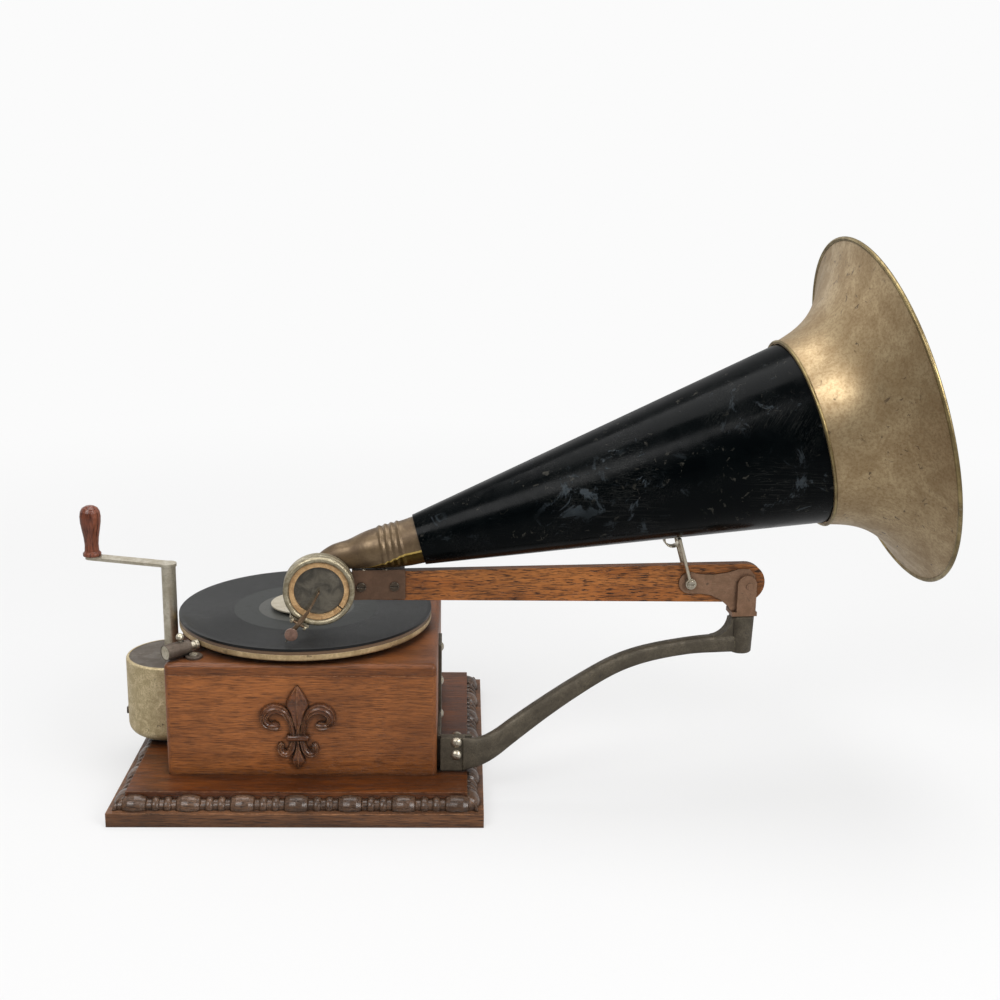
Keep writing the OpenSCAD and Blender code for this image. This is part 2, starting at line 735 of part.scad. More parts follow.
module arbor_bores(z, h) {
  for (p = arbors_at) translate([p[0], p[1], z - cut]) cylinder(r = arbor_r + run_gap, h = h + 2 * cut);
  translate([governor_at[0], governor_at[1], z - cut]) cylinder(r = governor_r + run_gap, h = h + 2 * cut);
}

module motor_lower_plate() {
  color(steel) difference() {
    union() {
      translate([plate_x0, plate_y0, low_plate_z])
        cube([plate_x1 - plate_x0, plate_y1 - plate_y0, low_plate_t]);
      translate([drum_at[0], drum_at[1], low_plate_z]) cylinder(r = drum_r - drum_edge_r, h = low_plate_t);
      translate([drum_at[0], drum_at[1] - 16, low_plate_z])
        cube([plate_x0 - drum_at[0] + 1, 32, low_plate_t]);
    }
    translate([drum_at[0], drum_at[1], low_plate_z - cut])
      cylinder(r = journal_r + run_gap, h = low_plate_t + 2 * cut);
    translate([spindle_at[0], spindle_at[1], low_plate_z - cut])
      cylinder(r = journal_r + run_gap, h = low_plate_t + 2 * cut);
    arbor_bores(low_plate_z, low_plate_t);
  }
}

module motor_upper_plate() {
  color(brass_c) difference() {
    translate([plate_x0, plate_y0, up_plate_z]) cube([plate_x1 - plate_x0, plate_y1 - plate_y0, up_plate_t]);
    translate([spindle_at[0], spindle_at[1], up_plate_z - cut])
      cylinder(r = spindle_r + run_gap, h = up_plate_t + 2 * cut);
    arbor_bores(up_plate_z, up_plate_t);
  }
}

module motor_pillars() {
  color(brass_c) for (p = pillar_at)
    translate([p[0], p[1], low_plate_top]) cylinder(r = pillar_r, h = plate_gap);
}

// Spring barrel, its gear and the mainspring
barrel_wall = 1.2;
module spring_barrel() {
  color(nickel) translate([drum_at[0], drum_at[1], barrel_z]) difference() {
    cylinder(r = barrel_r, h = barrel_h);
    translate([0, 0, barrel_wall]) cylinder(r = barrel_r - barrel_wall, h = barrel_h);
    translate([0, 0, -cut]) cylinder(r = crank_r + run_gap, h = barrel_wall + 2 * cut);
  }
}

module barrel_gear() {
  color(brass_c) translate([drum_at[0], drum_at[1], barrel_gear_z]) difference() {
    gear(barrel_teeth, gear_module, barrel_gear_t);
    translate([0, 0, -cut]) cylinder(r = crank_r + run_gap, h = barrel_gear_t + 2 * cut);
  }
}

spring_in_r = crank_r + 1.6;
spring_out_r = barrel_r - barrel_wall - spring_t - 0.25;
spring_step = 18;
function spring_r(a) = spring_in_r + (spring_out_r - spring_in_r) * a / (360 * spring_turns);
module mainspring() {
  last = 360 * spring_turns;
  color("lightsteelblue") translate([drum_at[0], drum_at[1], barrel_z + barrel_wall + 0.4])
    linear_extrude(barrel_h - barrel_wall - 0.8) polygon(concat(
      [for (a = [0:spring_step:last]) polar(spring_r(a), a)],
      [for (a = [last:-spring_step:0]) polar(spring_r(a) + spring_t, a)]));
}

// Crank
module crank_shaft() {
  color(nickel) translate([drum_at[0], drum_at[1], 0]) {
    translate([0, 0, low_plate_z + 0.2]) cylinder(r = journal_r, h = drum_floor + low_plate_t + 0.3);
    translate([0, 0, drum_z + drum_floor + 0.2])
      cylinder(r = crank_r, h = crank_top - drum_z - drum_floor - 0.2);
  }
}

ratchet_teeth = 12;
ratchet_r = 11.5;
ratchet_depth = 2.4;
module ratchet_wheel() {
  color(steel) translate([drum_at[0], drum_at[1], ratchet_z]) difference() {
    linear_extrude(ratchet_t) polygon([for (k = [0:ratchet_teeth - 1]) each [
      polar(ratchet_r, k * 360 / ratchet_teeth),
      polar(ratchet_r - ratchet_depth, k * 360 / ratchet_teeth + 1)]]);
    translate([0, 0, -cut]) cylinder(r = crank_r + 0.02, h = ratchet_t + 2 * cut);
  }
}

// The pawl reaches from its post to the gap behind a tooth and lifts clear of the next one
pawl_tip_a = 130;
pawl_tip_up = 1.2;
pawl_tip = polar(ratchet_r - ratchet_depth + pawl_tip_up, pawl_tip_a);
module ratchet_pawl() {
  l = dist(pawl_at, pawl_tip);
  color(steel) translate([drum_at[0] + pawl_at[0], drum_at[1] + pawl_at[1], ratchet_z + 0.3])
    difference() {
      union() {
        cylinder(r = pawl_post_r + 1.6, h = ratchet_t - 0.6);
        rotate([0, 0, dir_of(pawl_at, pawl_tip)]) linear_extrude(ratchet_t - 0.6)
          polygon([[0, -2.2], [l, 0], [l - 1.2, 1.5], [0, 2.6]]);
      }
      translate([0, 0, -cut]) cylinder(r = pawl_post_r + run_gap, h = ratchet_t + 2 * cut);
    }
}

handle_at = [drum_at[0] + crank_throw * cos(crank_angle), drum_at[1] + crank_throw * sin(crank_angle)];
crank_hub_h = 1;
module crank_arm() {
  color(nickel) difference() {
    union() {
      translate([drum_at[0], drum_at[1], crank_top]) rotate([0, 0, crank_angle]) {
        translate([0, -crank_arm_w / 2, 0]) cube([crank_throw, crank_arm_w, crank_arm_t]);
        cylinder(r = crank_arm_w / 2 + 0.8, h = crank_arm_t);
        translate([crank_throw, 0, 0]) cylinder(r = crank_arm_w / 2, h = crank_arm_t);
      }
      translate([handle_at[0], handle_at[1], crank_top])
        cylinder(r = handle_pin_r, h = crank_arm_t + handle_h - 3);
    }
  }
}

// Turned handle: foot flange, waist and round top
handle_points = [[0.87, 0], [0.87, 0.05], [0.7, 0.09], [0.66, 0.22], [0.72, 0.36], [0.86, 0.52], [0.97, 0.66],
  [1, 0.78], [0.93, 0.88], [0.74, 0.95], [0.4, 0.99], [0, 1]];
module crank_handle() {
  color("maroon") translate([handle_at[0], handle_at[1], crank_top + crank_arm_t + 0.2]) difference() {
    rotate_extrude() polygon(concat([[0, 0]], [for (p = handle_points) [p[0] * handle_r, p[1] * handle_h]]));
    translate([0, 0, -cut]) cylinder(r = handle_pin_r + run_gap, h = handle_h - 3 + cut);
  }
}

// Train
arbor_z0 = low_plate_z + 0.2;
arbor_h = up_plate_top - 0.2 - arbor_z0;
pinion_over = 1;
module first_arbor() {
  color(brass_c) translate([arbor_1_at[0], arbor_1_at[1], 0]) {
    translate([0, 0, arbor_z0]) cylinder(r = arbor_r, h = arbor_h);
    translate([0, 0, barrel_gear_z - pinion_over]) rotate([0, 0, turn_1])
      gear(pinion_1_teeth, gear_module, barrel_gear_t + 2 * pinion_over);
    translate([0, 0, wheel_1_z]) train_wheel(wheel_1_teeth, gear_module, wheel_t);
  }
}

module second_arbor() {
  color(brass_c) translate([arbor_2_at[0], arbor_2_at[1], 0]) {
    translate([0, 0, arbor_z0]) cylinder(r = arbor_r, h = arbor_h);
    translate([0, 0, wheel_1_z - pinion_over]) rotate([0, 0, turn_2])
      gear(pinion_2_teeth, gear_module, wheel_t + 2 * pinion_over);
    translate([0, 0, wheel_2_z]) train_wheel(wheel_2_teeth, gear_module, wheel_t);
  }
}

collar_r = spindle_r + 2;
module spindle() {
  color(nickel) translate([spindle_at[0], spindle_at[1], 0]) {
    translate([0, 0, low_plate_z + 0.2]) cylinder(r = journal_r, h = low_plate_t + 0.3);
    translate([0, 0, low_plate_top + 0.3])
      cylinder(r = spindle_r, h = spindle_tip_z - spindle_taper - low_plate_top - 0.3);
    translate([0, 0, spindle_tip_z - spindle_taper])
      cylinder(r1 = spindle_r, r2 = spindle_tip_r, h = spindle_taper);
    translate([0, 0, spindle_tip_z]) cylinder(r = spindle_tip_r, h = spindle_top - spindle_tip_z);
    translate([0, 0, wheel_2_z - pinion_over]) rotate([0, 0, turn_3])
      gear(spindle_teeth, gear_module, wheel_t + 2 * pinion_over);
    translate([0, 0, up_plate_top + 0.3])
      cylinder(r = collar_r, h = rim_z - hub_drop - up_plate_top - 0.3);
  }
}

module governor_wheel() {
  color(brass_c) translate([spindle_at[0], spindle_at[1], governor_wheel_z]) difference() {
    train_wheel(governor_wheel_teeth, governor_module, wheel_t);
    translate([0, 0, -cut]) cylinder(r = spindle_r + 0.02, h = wheel_t + 2 * cut);
  }
}

governor_r = 1.5;
weight_lift = 14;
weight_z = low_plate_top + weight_lift;
weight_bow = 8;
governor_collar_r = 3.2;
governor_collar_h = 2;
disc_gap = 7;
disc_z = governor_wheel_z + disc_gap;
disc_r = 11;
disc_t = 1.2;
module governor_shaft() {
  color(steel) translate([governor_at[0], governor_at[1], 0]) {
    translate([0, 0, arbor_z0]) cylinder(r = governor_r, h = arbor_h);
    for (s = [-1, 1]) translate([0, 0, weight_z + s * weight_bow - governor_collar_h / 2])
      cylinder(r = governor_collar_r, h = governor_collar_h);
    translate([0, 0, governor_wheel_z - pinion_over]) rotate([0, 0, turn_4])
      gear(governor_pinion_teeth, governor_module, wheel_t + 2 * pinion_over);
    translate([0, 0, disc_z]) cylinder(r = disc_r, h = disc_t);
  }
}

leaf_w = 3;
leaf_t = 0.4;
weight_r = 2.8;
module governor_weights() {
  color(brass_c) translate([governor_at[0], governor_at[1], weight_z]) for (k = [0:2])
    rotate([0, 0, 120 * k]) {
    translate([governor_collar_r, leaf_w / 2, 0]) rotate([90, 0, 0]) rotate([0, 0, -90])
      rotate_extrude(angle = 180) translate([weight_bow - leaf_t / 2, 0]) square([leaf_t, leaf_w]);
    translate([governor_collar_r + weight_bow, 0, 0]) sphere(r = weight_r);
  }
}

// Turntable
module at_spindle(z) {
  translate([spindle_at[0], spindle_at[1], z]) children();
}
disc_bore = spindle_r + 0.04;
rim_w = 3;
rim_edge = 1.8;
module turntable() {
  color("beige") at_spindle(rim_z) rotate_extrude() difference() {
    union() {
      translate([disc_bore, rim_h - platter_t]) square([record_r - disc_bore, platter_t]);
      translate([disc_bore, -hub_drop]) square([hub_r - disc_bore, hub_drop + rim_h]);
      translate([record_r - rim_w, 0]) square([rim_w - rim_edge, rim_h]);
      translate([record_r - rim_w, rim_edge]) square([rim_w, rim_h - rim_edge]);
      translate([record_r - rim_edge, rim_edge]) circle(r = rim_edge);
    }
    translate([record_r - rim_w - 2 * rim_edge, -rim_edge])
      square([2 * rim_edge, rim_h - platter_t + rim_edge]);
  }
}

module flat_ring(r, bore, t) {
  difference() {
    cylinder(r = r, h = t);
    translate([0, 0, -cut]) cylinder(r = bore, h = t + 2 * cut);
  }
}

module turntable_felt() {
  color("rosybrown") at_spindle(felt_z) flat_ring(record_r - 0.5, disc_bore, felt_t);
}

module record() {
  color("darkslategray") at_spindle(record_z) flat_ring(record_r, disc_bore, record_t);
}

module record_clamp() {
  color("gainsboro") at_spindle(record_top) difference() {
    union() {
      cylinder(r = clamp_r * 0.75, h = 1);
      translate([0, 0, 1]) cylinder(r1 = clamp_r * 0.75, r2 = clamp_r, h = clamp_h - 2);
      translate([0, 0, clamp_h - 1]) cylinder(r = clamp_r, h = 1);
      translate([0, 0, clamp_h]) cylinder(r = 7, h = clamp_knob_h);
    }
    translate([0, 0, -cut]) cylinder(r = disc_bore, h = clamp_h + clamp_knob_h + 2 * cut);
  }
}

// Brake: a sprung rod in a tube that presses a pad on the turntable's rim
brake_dir = 45;
brake_at = [case_x0 + brake_in, spindle_y - brake_front, case_top_z + brake_z];
brake_rel = [spindle_at[0] - brake_at[0], spindle_at[1] - brake_at[1]];
brake_along = brake_rel[0] * cos(brake_dir) + brake_rel[1] * sin(brake_dir);
brake_side = brake_rel[1] * cos(brake_dir) - brake_rel[0] * sin(brake_dir);
rim_at = brake_along - sqrt(record_r * record_r - brake_side * brake_side);
brake_wall = 0.45;
brake_bore = brake_tube_r - brake_wall;
brake_rod_r = brake_bore - run_gap;
brake_stem_r = 2.4;
brake_pad_r = 3.2;
brake_tip = rim_at - brake_travel - 0.3;
brake_ring = brake_tube_l / 2;
brake_ring_t = 2.6;
brake_shank_r = 1.4;
brake_shank_l = 5;
brake_foot_t = 1.6;
brake_foot_r = 5.5;
brake_foot = [brake_at[0] + polar(brake_ring + brake_ring_t / 2, brake_dir)[0] + 5.4,
  brake_at[1] + polar(brake_ring + brake_ring_t / 2, brake_dir)[1] - 5.4];
module at_brake() {
  translate(brake_at) rotate([0, 0, brake_dir]) rotate([0, 90, 0]) children();
}

module brake_bracket() {
  ring_mid = polar(brake_ring + brake_ring_t / 2, brake_dir);
  foot_rel = [brake_foot[0] - brake_at[0], brake_foot[1] - brake_at[1]];
  color(steel) {
    // Foot and the strap that leads to the post, cut clear of the tube
    difference() {
      translate([brake_foot[0], brake_foot[1], case_top_z]) linear_extrude(brake_foot_t) difference() {
        union() {
          circle(r = brake_foot_r);
          rotate(brake_dir + 90) translate([0, -brake_ring_t / 2 - 0.7])
            square([norm(foot_rel - ring_mid) + 2.6, brake_ring_t + 1.4]);
        }
        circle(r = brake_shank_r + run_gap);
      }
      at_brake() translate([0, 0, -brake_ring]) cylinder(r = brake_tube_r + free_gap, h = brake_tube_l);
    }
    // Post and ring
    at_brake() translate([0, 0, brake_ring]) linear_extrude(brake_ring_t) difference() {
      union() {
        circle(r = brake_tube_r - 0.4);
        translate([0, -2.2]) square([brake_z - 0.6, 4.4]);
      }
      circle(r = brake_stem_r + run_gap);
    }
  }
}

brake_slot = brake_travel + 2.8;
knob_s = 4;
knob_stem_r = 1.1;
knob_r = 2.6;
knob_out = brake_tube_r + knob_r + free_gap + 0.05;
rod_end = brake_tube_l / 2 - brake_travel - 0.8;
brake_pad_t = 2.4;
module brake_tube() {
  color(steel) at_brake() difference() {
    translate([0, 0, -brake_tube_l / 2]) cylinder(r = brake_tube_r, h = brake_tube_l);
    translate([0, 0, -brake_tube_l / 2 - cut]) cylinder(r = brake_bore, h = brake_tube_l + 2 * cut);
    translate([-brake_tube_r - cut, -knob_stem_r - free_gap, knob_s - knob_stem_r - free_gap])
      cube([brake_tube_r + cut, 2 * (knob_stem_r + free_gap), brake_slot]);
  }
}

module brake_rod() {
  color(nickel) at_brake() {
    rotate_extrude() polygon([[0, 0.2 - brake_tube_l / 2], [brake_rod_r, 0.2 - brake_tube_l / 2],
      [brake_rod_r, rod_end], [brake_stem_r, rod_end], [brake_stem_r, brake_tip - brake_pad_t],
      [brake_pad_r, brake_tip - brake_pad_t], [brake_pad_r, brake_tip], [0, brake_tip]]);
    // The knob is turned in one with its stem, which passes out through the slot
    translate([0, 0, knob_s]) rotate([0, -90, 0]) rotate_extrude() {
      square([knob_stem_r, knob_out]);
      intersection() {
        translate([0, knob_out]) circle(r = knob_r);
        translate([0, knob_out - knob_r]) square([knob_r, 2 * knob_r]);
      }
    }
  }
}

module brake_screws() {
  color(nickel) {
    translate([brake_foot[0], brake_foot[1], case_top_z + brake_foot_t]) slotted_head(2.9, 1.1);
    translate([brake_foot[0], brake_foot[1], case_top_z - brake_shank_l])
      cylinder(r = brake_shank_r, h = brake_shank_l + brake_foot_t + 0.1);
  }
}

// Side plate with its flange, and the support bracket
plate_y = case_y0 + 9.5;
plate_z = board_top + 0.7;
flange_t = 2.5;
flange_l = 21;
bolt_x = case_x1 + 13;
bolt_low = 11;
bolt_high = 20;
bolt_z = [plate_z + bolt_low, plate_z + bolt_high];
upright_w = 24;
upright_top = case_top_z - 5.2;
plate_x = case_x1 + side_plate_t;
module side_plate() {
  color(steel) difference() {
    union() {
      translate([case_x1, plate_y, plate_z])
        cube([side_plate_t, side_screw_y + upright_w / 2 - plate_y, root_h]);
      translate([case_x1, side_screw_y - upright_w / 2, plate_z])
        cube([side_plate_t, upright_w, upright_top - plate_z]);
      translate([case_x1, plate_y, plate_z]) cube([side_plate_t + flange_l, flange_t, root_h]);
    }
    for (z = side_screw_z) translate([case_x1 - cut, side_screw_y, z]) rotate([0, 90, 0])
      cylinder(r = side_shank_r + run_gap, h = side_plate_t + 2 * cut);
    for (z = bolt_z) translate([bolt_x, plate_y, z]) y_rod(bolt_r + run_gap, -cut, flange_t + cut);
  }
}

module side_plate_screws() {
  color(nickel) for (z = side_screw_z) translate([plate_x, side_screw_y, z]) rotate([0, 90, 0]) {
    dome_head(3.2, 1.6);
    translate([0, 0, -side_plate_t - side_shank_l + 0.2])
      cylinder(r = side_shank_r, h = side_plate_t + side_shank_l - 0.1);
  }
}

// The bracket's bar: its middle line runs from the root to the boss in an upright plane
swivel_at = [pivot_x - swivel_back * cos(arm_yaw), -pivot_y - swivel_back * sin(arm_yaw)];
root_y = plate_y - root_t;
bar_reach = 22.6;
bar_from = [case_x1 + bar_reach, plate_y - root_t / 2];
bar_yaw = dir_of(bar_from, swivel_at);
bar_span = dist(bar_from, swivel_at);
boss_top_z = pivot_z + boss_top;
bar_end_z = boss_top_z - boss_h + 6.8;
bar_start_z = plate_z + root_h / 2;
bar_rise = bar_end_z - bar_start_z;
// Stations along the bar: share of the span, share of the rise, height and thickness
bar_stations = [[-0.03, 0, root_h / bar_h, 0.4], [0.03, 0.015, 1.34, 0.75], [0.085, 0.085, 1.26, 0.95],
  [0.16, 0.24, 1.18, 1], [0.27, 0.455, 1.04, 1], [0.38, 0.65, 0.94, 1], [0.49, 0.82, 0.86, 1],
  [0.58, 0.915, 0.8, 1], [0.68, 0.97, 0.76, 1], [0.8, 1, 0.76, 1], [0.9, 1, 0.82, 1.05],
  [1, 0.99, 0.86, 1.1]];
bar_sides = 12;
fillet_r = 13;
fillet_back = 13.2;
function bar_ring(p) =
  let (x = p[0] * bar_span, z = bar_start_z + p[1] * bar_rise, h = p[2] * bar_h / 2, t = p[3] * bar_t / 2)
  [for (j = [0:bar_sides - 1]) let (a = 15 + 360 * j / bar_sides, c = cos(a), s = sin(a))
    [x, t * sign(c) * pow(abs(c), 0.6), z + h * sign(s) * pow(abs(s), 0.6)]];

module support_bracket() {
  color([0.33, 0.31, 0.27]) difference() {
    union() {
      translate([plate_x + 0.3, root_y, plate_z]) cube([bar_from[0] - plate_x - 4, root_t, root_h]);
      translate([bar_from[0], bar_from[1], 0]) rotate([0, 0, bar_yaw])
        skin([for (p = spline(bar_stations, 2)) bar_ring(p)]);
      translate([swivel_at[0], swivel_at[1], boss_top_z - boss_h])
        cylinder(r1 = boss_r - 1, r2 = boss_r, h = boss_h);
      // Fillet between the bar and the boss
      translate([swivel_at[0], swivel_at[1], bar_end_z]) rotate([90, 0, bar_yaw])
        translate([0, 0, -bar_t / 2]) linear_extrude(bar_t) difference() {
          translate([-boss_r - fillet_back, 0]) square([fillet_back + 4.5, boss_h - 8]);
          translate([-boss_r - fillet_back, bar_h * 0.38 + fillet_r]) circle(r = fillet_r);
        }
    }
    translate([swivel_at[0], swivel_at[1], boss_top_z - spigot_l - 0.4])
      cylinder(r = spigot_r + run_gap, h = spigot_l + 0.4 + cut);
    for (z = bolt_z) translate([bolt_x, plate_y, z]) y_rod(bolt_r + run_gap, -root_t - 6, cut);
    // Seat of the bolt heads and the flat back against the flange
    translate([case_x1, plate_y, plate_z - 5]) cube([flange_l + side_plate_t + 1, bar_t, root_h + 10]);
  }
}

module bracket_bolts() {
  color(nickel) for (z = bolt_z) translate([bolt_x, plate_y, z]) {
    y_rod(bolt_r, -root_t, flange_t + 0.1);
    translate([0, -root_t, 0]) rotate([90, 0, 0]) dome_head(3.7, 2.2);
    difference() {
      y_rod(4, flange_t, flange_t + 2.4);
      y_rod(bolt_r - 0.2, flange_t - cut, flange_t + 2.4 + cut);
    }
    y_rod(bolt_r - 0.2, flange_t, flange_t + 2.4);
  }
}

// Fork, hinge pin and arm
module at_pivot() {
  translate([pivot_x, -pivot_y, pivot_z]) rotate([0, 0, arm_yaw]) children();
}
ear_r = 6.6;
ear_x = -1.7;
ear_z = 1;
module swivel_fork() {
  color("rosybrown") at_pivot() difference() {
    union() {
      for (s = [-1, 1]) translate([0, s > 0 ? ear_y : -ear_y - ear_t, 0]) {
        translate([ear_x, 0, ear_z]) y_rod(ear_r, 0, ear_t);
        translate([ear_x - ear_r, 0, bridge_low]) cube([2 * ear_r, ear_t, ear_z - bridge_low]);
      }
      translate([-11.5, -fork_half, bridge_low]) cube([17.5, 2 * fork_half, bridge_t]);
      translate([-swivel_back, 0, bridge_low - spigot_l]) cylinder(r = spigot_r, h = spigot_l + 0.1);
    }
    y_rod(pin_r + 0.02, -fork_half - cut, fork_half + cut);
  }
}

module hinge_pin() {
  color("rosybrown") at_pivot() {
    y_rod(pin_r, -fork_half - 0.4, fork_half + 0.4);
  }
}

module horn_arm() {
  color("peru") at_pivot() difference() {
    union() {
      translate([0, arm_t / 2, 0]) rotate([90, 0, 0]) linear_extrude(arm_t) polygon([
        [-arm_l, arm_low_front], [arm_end_x, arm_low_back],
        [arm_end_x, arm_top_back], [-arm_l, arm_top_front]]);
      translate([arm_end_x, 0, arm_end_z]) y_rod(arm_end_r, -arm_t / 2, arm_t / 2);
    }
    y_rod(pin_r + run_gap, -arm_t, arm_t);
    translate([crutch_x, 0, crutch_z]) y_rod(crutch_screw_r + run_gap, -arm_t, arm_t);
    for (x = clip_screw_x) translate([x, 0, clip_screw_z]) y_rod(clip_screw_r + run_gap, -arm_t, arm_t);
    for (x = top_screw_x) translate([x, 0, arm_top_front - 4]) cylinder(r = clip_screw_r + run_gap, h = 10);
  }
}

crutch_screw_r = 1.6;
clip_screw_r = 1.2;
top_screw_x = [-arm_l + 3.3, -arm_l + 17.6];
cheek_points = [[-41.1, 10.1], [-33, 8.4], [-25.5, 7.9], [-15, 9.4], [-8, 11.5], [0, 11.5], [4, 7], [4.4, 0],
  [4.4, -12], [1, -17.9], [-11.5, -17.9], [-14, -14.6], [-19, -10], [-26, -6.4], [-33, -5.1], [-41.1, -4.9]];
module arm_cheeks() {
  color("rosybrown") at_pivot() for (s = [-1, 1]) difference() {
    union() {
      translate([0, s > 0 ? cheek_y + cheek_t : -cheek_y, 0]) rotate([90, 0, 0])
        linear_extrude(cheek_t) polygon(cheek_points);
      translate([crutch_x, 0, crutch_z]) y_rod(crutch_plate_r, s > 0 ? cheek_y : -cheek_y - cheek_t,
        s > 0 ? cheek_y + cheek_t : -cheek_y);
    }
    y_rod(pin_r + run_gap, -arm_t, arm_t);
    translate([crutch_x, 0, crutch_z]) y_rod(crutch_screw_r + run_gap, -arm_t, arm_t);
  }
}

// Front clip: a plate over the arm's end and a cheek on each side, folded from one strip
clip_x0 = -arm_l - 2.7;
clip_lip = 2;
clip_low = arm_low_front + clip_play;
module front_clip() {
  color("rosybrown") at_pivot() difference() {
    union() {
      for (s = [-1, 1]) translate([clip_x0, s > 0 ? cheek_y : -cheek_y - clip_t, clip_low])
        cube([clip_l, clip_t, plate_top - clip_low]);
      translate([clip_x0 - clip_lip, -cheek_y - clip_t, plate_top - clip_t])
        cube([clip_l + clip_lip - 0.4, 2 * (cheek_y + clip_t), clip_t]);
      translate([clip_x0 - clip_lip, -cheek_y - clip_t, clip_low])
        cube([clip_lip + 0.6, 2 * (cheek_y + clip_t), plate_top - clip_low]);
    }
    for (x = clip_screw_x) translate([x, 0, clip_screw_z]) y_rod(clip_screw_r + run_gap, -arm_t, arm_t);
    for (x = top_screw_x) translate([x, 0, plate_top - 4]) cylinder(r = clip_screw_r + run_gap, h = 10);
  }
}

module clip_screws() {
  side = cheek_y + clip_t;
  color(nickel) at_pivot() {
    for (x = clip_screw_x) translate([x, 0, clip_screw_z]) {
      y_rod(clip_screw_r, -side - 0.1, side + 0.1);
      translate([0, -side, 0]) rotate([90, 0, 0]) slotted_head(3, 1.1);
      translate([0, side, 0]) rotate([-90, 0, 0]) slotted_head(3, 1.1);
    }
    for (x = top_screw_x) translate([x, 0, plate_top]) {
      translate([0, 0, -4]) cylinder(r = clip_screw_r, h = 4);
      dome_head(2, 0.15);
    }
  }
}

// Crutch: a bent wire on both sides of the arm that carries the horn
module crutch() {
  w = crutch_d / 2;
  color(nickel) at_pivot() difference() {
    union() {
      for (s = [-1, 1]) {
        rod([crutch_x, s * crutch_y, crutch_z], [crutch_bar_x, s * crutch_y, crutch_bar_z], w);
        translate([crutch_x, 0, crutch_z])
          y_rod(3.6, s > 0 ? cheek_y + cheek_t : -crutch_y - w, s > 0 ? crutch_y + w : -cheek_y - cheek_t);
        translate([crutch_bar_x, s * crutch_y, crutch_bar_z]) sphere(r = w * 1.15);
      }
      translate([crutch_bar_x, 0, crutch_bar_z]) y_rod(w, -crutch_y, crutch_y);
    }
    translate([crutch_x, 0, crutch_z]) y_rod(crutch_screw_r + run_gap, -2 * arm_t, 2 * arm_t);
  }
}

module crutch_screws() {
  out = crutch_y + crutch_d / 2;
  color(nickel) at_pivot() translate([crutch_x, 0, crutch_z]) {
    y_rod(crutch_screw_r, -out - 0.1, out + 0.1);
    translate([0, -out, 0]) rotate([90, 0, 0]) slotted_head(2.6, 1.2);
    translate([0, out, 0]) rotate([-90, 0, 0]) slotted_head(2.6, 1.2);
  }
}

// Horn
module at_horn() {
  at_pivot() translate([axis_x, 0, axis_z]) rotate([0, -horn_pitch, 0]) children();
}
module turned(points) {
  rotate([0, 90, 0]) rotate_extrude($fn = 96) polygon(points);
}

module horn_cone() {
  s1 = cone_s + cone_l;
  color(japan) at_horn() turned([[cone_r0, cone_s], [cone_r1, s1], [cone_r1 - horn_wall, s1],
    [cone_r0 - horn_wall, cone_s]]);
}

module horn_bell() {
  color(brass_c) at_horn() {
    turned(concat(
      [for (k = [0:bell_steps]) [bell_radius(k / bell_steps) + horn_wall, bell_s + bell_l * k / bell_steps]],
      [for (k = [bell_steps:-1:0]) [bell_radius(k / bell_steps), bell_s + bell_l * k / bell_steps]]));
    rotate([0, 90, 0]) rotate_extrude() {
      translate([rim_r + 0.2, bell_s + bell_l]) circle(r = rim_bead_r);
      translate([bell_r0 + horn_wall + 0.4, bell_s + 1]) circle(r = seam_bead_r);
    }
  }
}

// The hook: a wide cup under the crutch's bar, hung from the cone by a short strap at its left end
hook_at = [-3.6, -0.6];
hook_in_r = norm(hook_at) + crutch_d / 2 + free_gap;
hook_t = 1;
hook_w = 6;
hook_turn = 170;
hook_strap = 0.8;
module horn_hook() {
  left = hook_at[0] - hook_in_r - hook_t / 2;
  up = cone_low(crutch_bar_x + left) - crutch_bar_z - 0.2;
  color(steel) at_pivot() translate([crutch_bar_x, hook_w / 2, crutch_bar_z]) rotate([90, 0, 0]) {
    translate(hook_at) rotate([0, 0, 180]) rotate_extrude(angle = hook_turn)
      translate([hook_in_r, 0]) square([hook_t, hook_w]);
    translate([left - hook_strap / 2, hook_at[1] - 0.4, 0.2])
      cube([hook_strap, up - hook_at[1] + 0.4, hook_w - 0.4]);
  }
}

// Elbow: a cast tube that rises behind the sound box, arches over the arm's end and enters the cone.
// Each station gives the place along the arm, the height, the tube's outer radius and the share of
// that radius kept across the arm.
knee_r = 9;
elbow_wall = 1.7;
elbow_seat = 0.4;
rib_count = 4;
rib_pitch = 4;
rib_from = -arm_l + 13.5;
rib_rise = 0.9;
elbow_stations = [
  [box_x + 0.4, box_z + 2.6, 8.8, 0.9], [box_x + 4.6, box_z + 11, 9.3, 0.86],
  [box_x + 12, box_z + 17, 9.3, 0.86], [-arm_l - 4.3, plate_top + 10.3, 9.9, 0.95],
  [-arm_l + 5, plate_top + 12.5, 12.1, 1], [rib_from, plate_top + 14.05, 13.6, 1],
  [rib_from + rib_count * rib_pitch, plate_top + 16.75, 15.1, 1]];
elbow_sides = 16;
function horn_station(s) = [axis_x + s * cos(horn_pitch), axis_z + s * sin(horn_pitch),
  cone_r0 - horn_wall - elbow_seat + (s - cone_s) * horn_slope, 1];
elbow_line = concat(elbow_stations, [horn_station(cone_s), horn_station(cone_s + 6)]);
elbow_bore_line = concat(elbow_stations, [horn_station(cone_s), horn_station(cone_s + 8)]);
